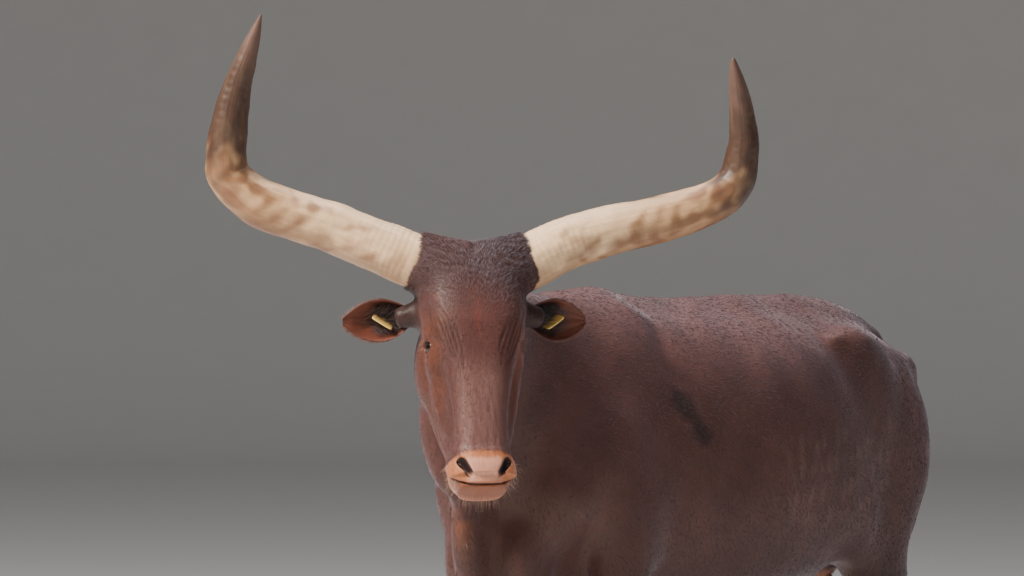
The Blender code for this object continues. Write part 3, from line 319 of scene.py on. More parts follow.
# The head, from the middle of the line between the horns: x to its left, y back, z up the face.
HEAD_FORMS = [
    (Tube([(0, 0.000, -0.006, 0.096, 0.078, 0.052), (0, -0.018, -0.050, 0.104, 0.085, 0.064),
           (0, -0.030, -0.120, 0.101, 0.085, 0.064), (0, -0.036, -0.190, 0.090, 0.080, 0.057),
           (0, -0.040, -0.260, 0.072, 0.070, 0.049), (0, -0.042, -0.330, 0.060, 0.060, 0.044),
           (0, -0.042, -0.400, 0.057, 0.050, 0.043), (0, -0.038, -0.450, 0.058, 0.050, 0.046)],
          cap=0.026, power=2.5), 0.02),
    (Tube([(0, 0.040, -0.040, 0.080, 0.055, 0.080), (0, 0.050, -0.110, 0.090, 0.080, 0.100),
           (0, 0.062, -0.185, 0.097, 0.106, 0.099), (0, 0.066, -0.250, 0.100, 0.093, 0.101),
           (0, 0.060, -0.310, 0.0965, 0.064, 0.095), (0, 0.044, -0.370, 0.083, 0.040, 0.078),
           (0, 0.020, -0.430, 0.066, 0.036, 0.064), (0, 0.006, -0.470, 0.058, 0.034, 0.056)],
          cap=0.026, power=2.3), 0.03),
    (Ball((0.083, 0.098, -0.210), (0.031, 0.062, 0.085), (12, 0, 0)), 0.03),
    (Ball((0.078, 0.020, -0.105), (0.036, 0.060, 0.055)), 0.03),
    (Ball((0.077, -0.006, -0.162), (0.029, 0.046, 0.033), (0, 0, -12)), 0.022),
    (Ball((0.074, 0.002, -0.214), (0.027, 0.042, 0.034)), 0.022),
    (Tube([(0.078, 0.002, -0.235, 0.016, 0.020, 0.020), (0.070, 0.000, -0.300, 0.014, 0.018, 0.018),
           (0.060, -0.004, -0.360, 0.012, 0.016, 0.016)], cap=0.02), 0.03),
    (Ball((0.062, 0.010, -0.004), (0.074, 0.070, 0.046)), 0.035),
    (Tube([(0, -0.022, -0.420, 0.057, 0.055, 0.059), (0, -0.018, -0.447, 0.0715, 0.056, 0.070),
           (0, -0.016, -0.478, 0.0750, 0.054, 0.072), (0, -0.020, -0.500, 0.063, 0.048, 0.058)],
          cap=0.013, power=2.6), 0.020),
    (Ball((0, -0.014, -0.490), (0.047, 0.046, 0.022), (-10, 0, 0)), 0.010),
    (Ball((0, 0.030, -0.440), (0.046, 0.032, 0.055)), 0.03),
]
HORN_COLLAR = Tube([(0.030, 0.004, -0.032, 0.058, 0.058, 0.058),
                    (0.090, 0.004, -0.010, 0.0615, 0.0615, 0.0615),
                    (0.116, 0.004, 0.000, 0.0612, 0.0612, 0.0612)], cap=0.009, power=3.0)
EAR_SEAT = (0.132, 0.050, -0.108)
EAR_WAY = (0.965, 0.225, -0.135)
EAR_BOSS = Tube([(0.070, 0.038, -0.098, 0.034, 0.034, 0.034), (0.132, 0.050, -0.108, 0.026, 0.026, 0.026),
                 (0.150, 0.054, -0.111, 0.022, 0.022, 0.022)], cap=0.01)
EYE = (0.0836, -0.0020, -0.1896)
EYE_WAY = (0.970, -0.235, 0.050)
LID_REACH = (0.0215, 0.0165)
EYE_OPENING = (0.0180, 0.0120, 0.0125)
NOSTRIL = Tube([(0.024, -0.088, -0.485, 0.0025, 0.008, 0.008),
                (0.031, -0.085, -0.477, 0.0040, 0.013, 0.013),
                (0.040, -0.080, -0.464, 0.0055, 0.017, 0.016),
                (0.048, -0.075, -0.452, 0.0070, 0.015, 0.014),
                (0.053, -0.071, -0.446, 0.0050, 0.010, 0.010)], cap=0.004)
MOUTH_FRONT = (-0.079, -0.5050)
MOUTH_SLOPE = 0.65
MOUTH_CORNER = 0.022
MOUTH_WIDTH = 0.0042
MOUTH_DEPTH = 0.012
LIP_OVERHANG = 0.009


def eye_axes(q):
    """Each point's reach from the eye's middle: across, up and out."""
    way = unit(np.array(EYE_WAY))
    across = unit(np.cross((0, 0, 1.0), way))
    offset = q - np.array(EYE)
    return offset @ across, offset @ np.cross(way, across), offset @ way


def lid_field(side, up, out):
    """The distance to the rims of both lids: an oval ring round the eye, flattened towards it."""
    wide, high = LID_REACH
    ratio = np.sqrt((side / wide) ** 2 + (up / high) ** 2) + 1e-6
    ring = np.sqrt(side**2 + up**2) * (1 - 1 / ratio)
    return np.sqrt(ring**2 + (0.8 * (out - EYE_RADIUS * 0.62)) ** 2) - 0.0062


def opening_field(side, up, out):
    """The distance to the almond between the lids, cut down to the eyeball."""
    wide, high, deep = EYE_OPENING
    ratio = np.sqrt((side / wide) ** 2 + (up / high) ** 2 + ((out - EYE_RADIUS) / deep) ** 2)
    return (ratio - 1) * high


def to_head(p):
    turn = np.array(Matrix.Rotation(HEAD_TURN, 3, "Z") @ Matrix.Rotation(HEAD_NOD, 3, "X"))
    return (p - np.array(POLL)) @ turn


def from_head(q):
    turn = np.array(Matrix.Rotation(HEAD_TURN, 3, "Z") @ Matrix.Rotation(HEAD_NOD, 3, "X"))
    return np.asarray(q) @ turn.T + np.array(POLL)


def head_field(p):
    """The head's surface, mirrored about its own middle plane."""
    q = to_head(p)
    q[:, 0] = np.abs(q[:, 0])
    d = blended(HEAD_FORMS + [(HORN_COLLAR, 0.03), (EAR_BOSS, 0.02)], q)
    near = np.abs(q - np.array(EYE)).max(1) < 0.06
    eye = eye_axes(q[near])
    d[near] = -join(-join(d[near], lid_field(*eye), 0.008), opening_field(*eye), 0.004)
    near = ((q > NOSTRIL.low - 0.03) & (q < NOSTRIL.high + 0.03)).all(1)
    d[near] = -join(-d[near], NOSTRIL(q[near]), 0.005)
    line = MOUTH_FRONT[1] + MOUTH_SLOPE * (q[:, 1] - MOUTH_FRONT[0])
    open_here = np.clip((MOUTH_CORNER - q[:, 1]) / 0.02, 0, 1) * (q[:, 1] < 0.06)
    under_lip = np.clip((line - q[:, 2]) / 0.008, 0, 1) * np.clip((q[:, 0] - 0.015) / 0.035, 0, 1)
    d = d + LIP_OVERHANG * open_here * under_lip
    slit = MOUTH_WIDTH * open_here * (1 + d / MOUTH_DEPTH) - np.abs(q[:, 2] - line)
    return np.where(open_here > 0, -join(-d, -slit, 0.003), d)


THROAT = Ball((0.038, -0.567, 1.076), (0.048, 0.050, 0.132), (8, 0, 0))
BODY_FORMS = [(TRUNK, 0.05), (SPINE, 0.07), (NECK, 0.09), (DEWLAP, 0.05), (THROAT, 0.06)]
LEG_FORMS = [form for leg in LEGS for form in leg_forms(leg)]
TAIL_HEAD = Tube([(0, 1.000, 1.278, 0.045, 0.034, 0.050), (0, 1.080, 1.270, 0.036, 0.030, 0.038),
                  (0, 1.136, 1.248, 0.030, 0.028, 0.028), (0, 1.172, 1.200, 0.026, 0.026, 0.026)], cap=0.01)


def flesh_field(p):
    """Below nought inside the flesh of the whole animal, without its ears."""
    p = np.asarray(p, float)
    mirrored = p * (1, 1, 1)
    mirrored[:, 0] = np.abs(p[:, 0])
    d = blended(BODY_FORMS, p)
    d = join(d, blended(SIDE_FORMS, mirrored), 0.05)
    d = join(d, blended(LEG_FORMS, p), 0.045)
    udder = blended([(UDDER, 0.02)] + [(Ball(teat, (0.013, 0.013, 0.042)), 0.012) for teat in TEATS],
                    mirrored)
    d = join(d, udder, 0.03)
    d = join(d, blended([(TAIL_HEAD, 0.02)], p), 0.03)
    ahead = p[:, 1] < -0.30
    d[ahead] = join(d[ahead], head_field(p[ahead]), 0.045)
    return d


def sampled(field, points, chunk=150_000):
    return np.concatenate([field(points[i:i + chunk]) for i in range(0, len(points), chunk)])


def skin_of(field, low, high, cell):
    """A closed skin where the field is nought: a point in each grid cell it crosses, joined in fours."""
    block = 4
    blocks = [math.ceil((b - a) / (cell * block)) + 1 for a, b in zip(low, high)]
    coarse = np.stack(np.meshgrid(*[a + (np.arange(n) + 0.5) * cell * block for a, n in zip(low, blocks)],
                                  indexing="ij"), -1)
    rough = sampled(field, coarse.reshape(-1, 3)).reshape(blocks)
    value = np.kron(rough, np.ones((block, block, block)))
    near = np.argwhere(np.kron(np.abs(rough) < 1.3 * cell * block + 0.02,
                               np.ones((block, block, block), bool)))
    value[tuple(near.T)] = sampled(field, near * cell + np.array(low))
    for axis in range(3):
        edge = np.moveaxis(value, axis, 0)
        edge[0], edge[-1] = cell, cell
    value[value == 0] = 1e-9
    inside = value < 0
    n = np.array(value.shape) - 1

    def corner(array, i, j, k):
        return array[i:i + n[0], j:j + n[1], k:k + n[2]]

    corners = [(i, j, k) for i in (0, 1) for j in (0, 1) for k in (0, 1)]
    count = sum(corner(inside, *c).astype(np.int8) for c in corners)
    mixed = (count > 0) & (count < 8)
    number = np.full(n, -1)
    number[mixed] = np.arange(mixed.sum())
    total, weight = np.zeros((mixed.sum(), 3)), np.zeros(mixed.sum())
    for a in corners:
        for axis in range(3):
            if a[axis]:
                continue
            b = tuple(a[i] + (i == axis) for i in range(3))
            va, vb = corner(value, *a)[mixed], corner(value, *b)[mixed]
            crossed = (va < 0) != (vb < 0)
            t = np.where(crossed, va / np.where(crossed, va - vb, 1), 0)
            at = np.array(a, float) + np.eye(3)[axis] * t[:, None]
            total += at * crossed[:, None]
            weight += crossed
    points = (np.argwhere(mixed) + total / weight[:, None]) * cell + np.array(low)
    faces = []
    for axis in range(3):
        u, v = (axis + 1) % 3, (axis + 2) % 3
        first = np.moveaxis(inside, (axis, u, v), (0, 1, 2))
        cells = np.moveaxis(number, (axis, u, v), (0, 1, 2))
        change = first[:-1, 1:-1, 1:-1] != first[1:, 1:-1, 1:-1]
        ring = [cells[:, :-1, :-1], cells[:, 1:, :-1], cells[:, 1:, 1:], cells[:, :-1, 1:]]
        quads = np.stack([r[change] for r in ring], 1)
        outward = first[:-1, 1:-1, 1:-1][change]
        faces.append(np.where(outward[:, None], quads, quads[:, ::-1]))
    return points, np.concatenate(faces)


def slope_of(field, points, step=0.0008):
    value = sampled(field, points)
    slope = np.stack([(sampled(field, points + step * axis) - value) / step for axis in np.eye(3)], 1)
    return value, slope


# Each horn from its root: the place x, y, z from the poll, level and turned with the head, and the radius.
HORN_SPREAD = 1.008
HORN_RIGHT = [
    (-0.1255, 0.000, 0.002, 0.0600), (-0.204, 0.008, 0.034, 0.0570), (-0.303, 0.020, 0.075, 0.0548),
    (-0.434, 0.030, 0.118, 0.0540), (-0.504, 0.030, 0.172, 0.0480), (-0.516, 0.024, 0.217, 0.0457),
    (-0.5085, 0.008, 0.300, 0.0400), (-0.498, -0.006, 0.3585, 0.0325), (-0.481, -0.024, 0.417, 0.0250),
    (-0.463, -0.044, 0.4766, 0.0145), (-0.452, -0.060, 0.516, 0.0040)]
HORN_LEFT = [
    (0.1255, 0.000, 0.000, 0.0600), (0.194, 0.008, 0.034, 0.0575), (0.2766, 0.018, 0.0596, 0.0555),
    (0.438, 0.030, 0.098, 0.0510), (0.534, 0.030, 0.132, 0.0460), (0.579, 0.026, 0.1766, 0.0420),
    (0.590, 0.014, 0.243, 0.0365), (0.587, 0.000, 0.296, 0.0305), (0.578, -0.016, 0.3426, 0.0255),
    (0.566, -0.034, 0.387, 0.0185), (0.556, -0.050, 0.423, 0.0095), (0.554, -0.056, 0.4345, 0.0040)]
EAR_LENGTH = 0.140
EAR_WIDTHS = [0.022, 0.034, 0.042, 0.0460, 0.0455, 0.042, 0.035, 0.0245, 0.009]
EAR_CUPS = [0.020, 0.026, 0.031, 0.033, 0.030, 0.025, 0.018, 0.011, 0.004]
EAR_THICK = 0.0050
# Each ear's way to its tip in the head's axes, and the way its cup opens.
EARS = {
    "right": ((-0.990, 0.060, 0.010), (-0.02, -0.960, -0.200)),
    "left": ((0.860, 0.480, 0.150), (0.380, -0.900, -0.180)),
}
TAG_STEP = 3
TAG_TILT = math.radians(38.0)
TAG_LONG, TAG_DEEP, TAG_STAND = 0.048, 0.030, 0.010
TAIL = [
    (0, 1.170, 1.206, 0.0255), (0, 1.196, 1.120, 0.0225), (0.003, 1.201, 1.000, 0.0190),
    (0.006, 1.199, 0.860, 0.0155), (0.008, 1.195, 0.730, 0.0125), (0.008, 1.190, 0.620, 0.0110)]


# Markings, and the painted light and shade noted where each is used, as the average colours that they have in
# daylight.
def srgb(red, green, blue):
    """A screen colour from 0 to 255, as linear light."""
    value = np.array([red, green, blue]) / 255
    return np.where(value <= 0.04045, value / 12.92, ((value + 0.055) / 1.055) ** 2.4)


COAT = srgb(80, 49, 43)
COAT_SKY_HIGHLIGHT = srgb(104, 66, 60)
COAT_LOW = srgb(50, 28, 24)
COAT_LEG = srgb(46, 28, 24)
BROW = srgb(84, 48, 42)
POLL_DARK = srgb(64, 37, 32)
STREAK = srgb(112, 52, 38)
BRIDGE_HIGHLIGHT = srgb(108, 74, 68)
CHEEK = srgb(90, 46, 30)
TAN = srgb(172, 104, 66)
PAD = srgb(200, 140, 116)
LIP_AND_SHADE = srgb(112, 62, 40)
NOSTRIL_SHADE = srgb(34, 18, 14)
LID = srgb(40, 25, 21)
UDDER_SKIN = srgb(168, 112, 88)
EAR_OUT = srgb(92, 48, 32)
EAR_IN = srgb(108, 60, 46)
EAR_HAIR = srgb(58, 42, 36)
EAR_SHADE = srgb(44, 24, 19)
EAR_RIM = srgb(122, 74, 60)
SWITCH_HAIR = srgb(44, 27, 22)
LASH = srgb(150, 110, 88)
WHISKER = srgb(214, 176, 150)
PALE_HAIR = srgb(126, 96, 88)
DARK_SPOT_CENTRE = (0.275, 0.065, 1.105)


def ramp(low, high, value):
    """From 0 to 1 between low and high, with a soft start and end."""
    t = np.clip((value - low) / (high - low), 0, 1)
    return t * t * (3 - 2 * t)


def over(under, colour, share):
    return under + (np.asarray(colour) - under) * np.asarray(share)[..., None]


def waves(p, length, seed, count=7):
    """A soft uneven pattern from -1 to 1: the mean of sines along random ways, about this long each."""
    draw = np.random.default_rng(seed)
    ways = unit(draw.normal(size=(count, 3)))
    ways = ways * (2 * np.pi / (length * draw.uniform(0.6, 1.6, count)[:, None]))
    return np.sin(p @ ways.T + draw.uniform(0, 6.28, count)).mean(1) * 1.9


def head_share(p):
    """1 on the head and 0 behind its joint with the neck, with a soft change between."""
    q = to_head(p)
    behind = 0.96 * (q[:, 1] - 0.10) + 0.275 * (q[:, 2] - 0.03)
    return ramp(0.06, -0.03, behind) * ramp(0.72, 0.62, np.linalg.norm(q - (0, 0, -0.2), axis=1))


def muzzle_line(q):
    """How far a place lies below the upper edge of the pale muzzle."""
    return -0.427 - 0.9 * q[:, 0] ** 2 - (q[:, 2] + 0.22 * (q[:, 1] + 0.085))


FOLD_LOW = (0.037, -0.245)
FOLD_HIGH = (0.077, -0.120)
FOLD_STEPS = (0.0042, 0.0057, 0.0175)
FOLD_COUNT = 5


def brow_folds(q):
    """Creases from 0 to 1: on each brow a fan of lines that close up towards the bridge."""
    share = np.clip((q[:, 2] - FOLD_LOW[1]) / (FOLD_HIGH[1] - FOLD_LOW[1]), -0.2, 1.3)
    start = FOLD_LOW[0] + (FOLD_HIGH[0] - FOLD_LOW[0]) * share**2
    low, high, middle = FOLD_STEPS
    step = low + (high - low) * share + middle * np.maximum(share * (1 - share), -0.1)
    place = (np.abs(q[:, 0]) - start + 0.0020 * waves(q, 0.05, 21)) / step
    off = np.abs(place - np.round(place))
    line = np.exp(-((off / 0.25) ** 2)) * (place > -0.5) * (place < FOLD_COUNT - 0.5)
    turn = 2.4 * np.round(place) + 2 * np.sign(q[:, 0])
    low, high = 0.10 + 0.22 * np.sin(turn), 0.92 + 0.22 * np.cos(1.7 * turn)
    ends = ramp(low - 0.22, low + 0.22, share) * ramp(high + 0.25, high - 0.25, share)
    return line * ends * ramp(0.02, -0.01, q[:, 1]) * (0.75 + 0.25 * np.sin(1.3 * turn))


def coat_tint(p, up):
    """The colour of coat and skin at each place, with painted light and shade where noted. up is the height
    of the surface's outward way, which sets the painted highlight.
    """
    tint = np.repeat(COAT[None], len(p), 0)
    # Painted highlight: faces that look up are lightened, standing in for the sky's reflection on the glossy
    # coat.
    tint = over(tint, COAT_SKY_HIGHLIGHT, 0.75 * ramp(0.2, 0.95, up))
    tint = over(tint, COAT_LOW, 0.7 * ramp(0.86, 0.60, p[:, 2]))
    tint = over(tint, COAT_LEG, ramp(0.62, 0.40, p[:, 2]))
    tint = over(tint, UDDER_SKIN, ramp(0.10, 0.07, np.abs(p[:, 0])) * ramp(0.715, 0.690, p[:, 2])
                * ramp(0.62, 0.68, p[:, 1]) * ramp(1.06, 1.00, p[:, 1]))
    q = to_head(p)
    x = np.abs(q[:, 0])
    face = np.repeat(BROW[None], len(p), 0)
    face = over(face, CHEEK, ramp(0.058, 0.080, x + 0.010 * waves(q, 0.09, 3)) * ramp(-0.10, -0.16, q[:, 2])
                * ramp(-0.46, -0.36, q[:, 2]) * ramp(0.15, 0.06, q[:, 1]))
    # Painted highlight: a paler, cooler band down the nasal bridge, standing in for the sky's reflection on
    # it.
    face = over(face, BRIDGE_HIGHLIGHT, 0.9 * ramp(0.062, 0.036, x) * ramp(-0.20, -0.29, q[:, 2])
                * ramp(0.01, -0.04, q[:, 1]))
    face = over(face, POLL_DARK, 0.75 * ramp(-0.17, 0.01, q[:, 2] + 0.02 * waves(q, 0.05, 4)))
    face = over(face, STREAK, 0.3 * ramp(0.008, 0.002, np.abs(q[:, 0] + 0.004 + 0.004 * waves(q, 0.12, 5)))
                * ramp(-0.19, -0.16, q[:, 2]) * ramp(-0.10, -0.13, q[:, 2]) * ramp(0, -0.03, q[:, 1]))
    # Painted shade: the tint darkens along the brow's folds.
    face = face * (1 - 0.58 * brow_folds(q))[:, None]
    at_eye = np.stack([x, q[:, 1], q[:, 2]], 1) - np.array(EYE)
    face = over(face, CHEEK * 1.45, 0.8 * ramp(0.060, 0.035, np.linalg.norm(at_eye, axis=1)))
    # Painted shade: darker on the head's side round the ear's root.
    face = over(face, EAR_SHADE, 0.8 * ramp(0.094, 0.116, x) * ramp(-0.17, -0.14, q[:, 2])
                * ramp(0.0, 0.02, q[:, 1])
                * ramp(-0.050, -0.060, q[:, 2]))
    face = over(face, LID, 0.95 * ramp(0.0265, 0.0215, np.linalg.norm(at_eye, axis=1)))
    line = muzzle_line(q)
    face = over(face, TAN, ramp(-0.003, 0.006, line + 0.0015 * waves(q, 0.02, 6)))
    face = over(face, PAD, ramp(0.010, 0.022, line + 0.003 * waves(q, 0.03, 8)) * ramp(0.044, 0.030, x)
                * ramp(-0.498, -0.488, q[:, 2]) * ramp(-0.03, -0.06, q[:, 1]))
    mouth = q[:, 2] - MOUTH_FRONT[1] - MOUTH_SLOPE * (q[:, 1] - MOUTH_FRONT[0])
    # The lower lip's own tone, darkened further as painted shade under the muzzle.
    face = over(face, LIP_AND_SHADE, 0.85 * ramp(0.012, 0.0, mouth) * ramp(0.02, -0.02, q[:, 1]))
    # Painted shade: a dark line along the mouth's crease.
    face = over(face, BROW * 0.5, ramp(0.004, 0.001, np.abs(mouth)) * ramp(0.03, 0.02, q[:, 1])
                * ramp(0, 0.01, line))
    # Painted shade: the tint darkens inside the nostrils.
    near = np.flatnonzero(((np.stack([x, q[:, 1], q[:, 2]], 1) > NOSTRIL.low - 0.01)
                           & (np.stack([x, q[:, 1], q[:, 2]], 1) < NOSTRIL.high + 0.01)).all(1))
    hole = np.full(len(p), 1.0)
    hole[near] = NOSTRIL(np.stack([x, q[:, 1], q[:, 2]], 1)[near])
    face = over(face, NOSTRIL_SHADE, ramp(0.0032, 0.0014, hole) * ramp(-0.488, -0.470, q[:, 2]))
    tint = over(tint, face, head_share(p))
    flank = (ramp(0.25, 0.45, p[:, 1]) * ramp(0.95, 0.75, p[:, 1])
             * ramp(0.80, 0.88, p[:, 2]) * ramp(1.12, 1.0, p[:, 2]))
    drawn = p * (1, 1, 0.35)
    tint = over(tint, PALE_HAIR, 0.38 * flank * (1 - head_share(p))
                * ramp(0.1, 0.7, waves(drawn, 0.022, 8)))
    # A darker, uneven, leaning oval high on the left side, just behind the shoulder.
    dark_spot = p - np.array(DARK_SPOT_CENTRE)
    dark_spot[:, 1] += 0.6 * dark_spot[:, 2]
    dark_spot = np.sqrt(((dark_spot / (0.08, 0.042, 0.072)) ** 2).sum(1)) + 0.35 * waves(p, 0.06, 9)
    tint = over(tint, COAT_LEG, 0.85 * ramp(1.05, 0.85, dark_spot))
    broad = (1 + 0.12 * waves(p, 0.45, 1) + 0.10 * waves(p, 0.10, 2)
             + 0.09 * (1 - head_share(p)) * waves(p * (1, 0.6, 1), 0.028, 7))
    return tint * broad[:, None]


def coat_lie(p, out):
    """The way the hair lies: back and down the body, down the legs and face, up the brow."""
    side = np.stack([0.0 * p[:, 0], 0.9 - 0.35 * ramp(0.9, 0.6, p[:, 2]),
                     -0.28 - 0.9 * ramp(1.25, 0.75, p[:, 2])], 1)
    side = over(side, (0.0, 0.10, -1.0), ramp(0.78, 0.62, p[:, 2]))
    side = over(side, (0.0, 0.25, -0.95), 0.85 * ramp(0.80, 0.98, p[:, 1]) * ramp(1.30, 1.18, p[:, 2]))
    q = to_head(p)
    x = np.abs(q[:, 0])
    face = np.stack([0.25 * q[:, 0] / 0.1, 0.25 + 0.5 * ramp(0.05, 0.10, x), -1.0 + 0.0 * x], 1)
    brow = ramp(-0.165, -0.125, q[:, 2]) * ramp(0.02, -0.02, q[:, 1])
    face = over(face, np.stack([11.0 * q[:, 0], 0.1 + 0 * x, 0.8 + 0 * x], 1), brow)
    turn = np.array(Matrix.Rotation(HEAD_TURN, 3, "Z") @ Matrix.Rotation(HEAD_NOD, 3, "X"))
    way = over(side, face @ turn.T, head_share(p))
    way = way + 0.10 * np.stack([waves(p, 0.16, 11), waves(p, 0.16, 12), waves(p, 0.16, 13)], 1)
    way = way - out * (way * out).sum(1)[:, None]
    return unit(way + 1e-6)


# Making of meshes.
def mesh_object(name, points, faces, finish, uv=None, tint=None):
    """A mesh from arrays. Faces may be arrays of threes or fours or lists, uv and tint are per point."""
    mesh = bpy.data.meshes.new(name)
    points = np.asarray(points, float) - np.array(MIDDLE)
    if isinstance(faces, np.ndarray):
        sides = faces.shape[1]
        mesh.vertices.add(len(points))
        mesh.vertices.foreach_set("co", points.astype(np.float32).ravel())
        mesh.loops.add(faces.size)
        mesh.loops.foreach_set("vertex_index", faces.astype(np.int32).ravel())
        mesh.polygons.add(len(faces))
        mesh.polygons.foreach_set("loop_start", np.arange(0, faces.size, sides, dtype=np.int32))
        mesh.update(calc_edges=True)
    else:
        mesh.from_pydata(points.tolist(), [], faces)
    mesh.validate()
    corner = np.zeros(len(mesh.loops), np.int32)
    mesh.loops.foreach_get("vertex_index", corner)
    if uv is not None:
        layer = mesh.uv_layers.new(name="OFBake")
        layer.data.foreach_set("uv", np.asarray(uv, np.float32)[corner].ravel())
    if tint is not None:
        layer = mesh.color_attributes.new("tint", "FLOAT_COLOR", "POINT")
        colours = np.column_stack([tint, np.ones(len(tint))]).astype(np.float32)
        layer.data.foreach_set("color", colours.ravel())
    mesh.shade_smooth()
    mesh.materials.append(finish)
    made = bpy.data.objects.new(name, mesh)
    bpy.context.scene.collection.objects.link(made)
    return made


def loft(rings):
    """Points and faces of a skin through rings of equal count, each end closed by one point in its middle."""
    rings = np.asarray(rings, float)
    count, size = rings.shape[:2]
    grid = np.arange(count * size).reshape(count, size)
    around = np.roll(grid, -1, axis=1)
    faces = np.stack([grid[:-1], around[:-1], around[1:], grid[1:]], -1).reshape(-1, 4).tolist()
    first, last = count * size, count * size + 1
    faces += [[first, b, a] for a, b in zip(grid[0].tolist(), around[0].tolist())]
    faces += [[last, a, b] for a, b in zip(grid[-1].tolist(), around[-1].tolist())]
    points = np.vstack([rings.reshape(-1, 3), rings[0].mean(0), rings[-1].mean(0)])
    return points, faces


def faced_out(obj):
    """Turns every face outward."""
    mesh = bmesh.new()
    mesh.from_mesh(obj.data)
    bmesh.ops.recalc_face_normals(mesh, faces=mesh.faces[:])
    mesh.to_mesh(obj.data)
    mesh.free()
    return obj


def frames_along(centres, hint=(0, 0, 1)):
    """The ways along, across and over at each point of a line."""
    along = unit(np.gradient(centres, axis=0))
    across = unit(np.cross(hint, along))
    return along, across, np.cross(along, across)


def keep(piece, slot, *nodes):
    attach(piece, "root")
    if nodes:
        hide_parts(*nodes)
    return piece


# Finishes.
class Shader:
    """A new material and short ways to add its nodes."""

    def __init__(self, name, roughness):
        self.material = bpy.data.materials.new(name)
        self.material.use_nodes = True
        self.tree = self.material.node_tree
        self.surface = self.tree.nodes["Principled BSDF"]
        self.surface.inputs["Roughness"].default_value = roughness
        self.place = self.add("ShaderNodeTexCoord").outputs["Object"]

    def add(self, kind, **values):
        node = self.tree.nodes.new(kind)
        for name, value in values.items():
            setattr(node, name, value)
        return node

    def join(self, source, target):
        self.tree.links.new(source, target)

    def group(self, tree, **inputs):
        node = self.add("ShaderNodeGroup", node_tree=tree)
        for name, value in inputs.items():
            socket = node.inputs[name.replace("_", " ")]
            if isinstance(value, bpy.types.NodeSocket):
                self.join(value, socket)
            else:
                socket.default_value = value
        return node

    def attribute(self, name):
        return self.add("ShaderNodeAttribute", attribute_name=name).outputs

    def bump(self, height, distance, strength=1.0, normal=None):
        node = self.add("ShaderNodeBump")
        node.inputs["Distance"].default_value = distance
        node.inputs["Strength"].default_value = strength
        self.join(height, node.inputs["Height"])
        if normal is not None:
            self.join(normal, node.inputs["Normal"])
        return node.outputs["Normal"]

    def set(self, **values):
        for name, value in values.items():
            self.surface.inputs[name.replace("_", " ")].default_value = value


def new_group(name, inputs, outputs):
    """An empty node group with these named sockets, and a way to add nodes and links in it."""
    tree = bpy.data.node_groups.new(name, "ShaderNodeTree")
    for label, kind in inputs:
        tree.interface.new_socket(name=label, in_out="INPUT", socket_type=kind)
    for label, kind in outputs:
        tree.interface.new_socket(name=label, in_out="OUTPUT", socket_type=kind)
    return tree, tree.nodes.new("NodeGroupInput").outputs, tree.nodes.new("NodeGroupOutput").inputs


def math_node(tree, operation, a, b):
    node = tree.nodes.new("ShaderNodeMath")
    node.operation = operation
    for socket, value in zip(node.inputs, (a, b)):
        if isinstance(value, bpy.types.NodeSocket):
            tree.links.new(value, socket)
        else:
            socket.default_value = value
    return node.outputs[0]


def mottle_group():
    """A colour made lighter and darker by uneven noise: the noise, less a half, scales the colour's value."""
    tree, given, wanted = new_group("mottle", [("Colour", "NodeSocketColor"), ("Place", "NodeSocketVector"),
                                               ("Scale", "NodeSocketFloat"), ("Amount", "NodeSocketFloat")],
                                    [("Colour", "NodeSocketColor"), ("Height", "NodeSocketFloat")])
    noise = tree.nodes.new("ShaderNodeTexNoise")
    noise.inputs["Detail"].default_value = 5
    noise.inputs["Roughness"].default_value = 0.62
    tree.links.new(given["Place"], noise.inputs["Vector"])
    tree.links.new(given["Scale"], noise.inputs["Scale"])
    part = math_node(tree, "MULTIPLY", math_node(tree, "SUBTRACT", noise.outputs[0], 0.5), given["Amount"])
    tone = tree.nodes.new("ShaderNodeHueSaturation")
    tree.links.new(math_node(tree, "ADD", part, 1.0), tone.inputs["Value"])
    tree.links.new(given["Colour"], tone.inputs["Color"])
    tree.links.new(tone.outputs[0], wanted["Colour"])
    tree.links.new(noise.outputs[0], wanted["Height"])
    return tree


MOTTLE = mottle_group()


def hair_gloss(made, sheen):
    """The weak gloss and the cool sheen that skin and tufts share."""
    made.set(Specular_IOR_Level=0.35, Sheen_Weight=sheen, Sheen_Roughness=0.35,
             Sheen_Tint=(0.86, 0.84, 1.0, 1))


def coat_finish(name, streak_scale, bump_depth, sheen):
    """Short hair: the tint attribute in streaks along the lie attribute, softly glossy."""
    made = Shader(name, 0.50)
    tint, lie = made.attribute("tint")["Color"], made.attribute("lie")["Vector"]
    streaks = made.group(MOTTLE, Colour=tint, Place=lie, Scale=streak_scale, Amount=0.60)
    patches = made.group(MOTTLE, Colour=streaks.outputs["Colour"], Place=made.place, Scale=7.0, Amount=0.9)
    made.join(patches.outputs["Colour"], made.surface.inputs["Base Color"])
    made.join(made.bump(streaks.outputs["Height"], bump_depth), made.surface.inputs["Normal"])
    hair_gloss(made, sheen)
    return made.material


def tuft_finish(name, roughness, sheen):
    """Hair tufts: each has its root's tint, darker at the root and paler at the tip."""
    made = Shader(name, roughness)
    made.join(made.attribute("tint")["Color"], made.surface.inputs["Base Color"])
    hair_gloss(made, sheen)
    return made.material


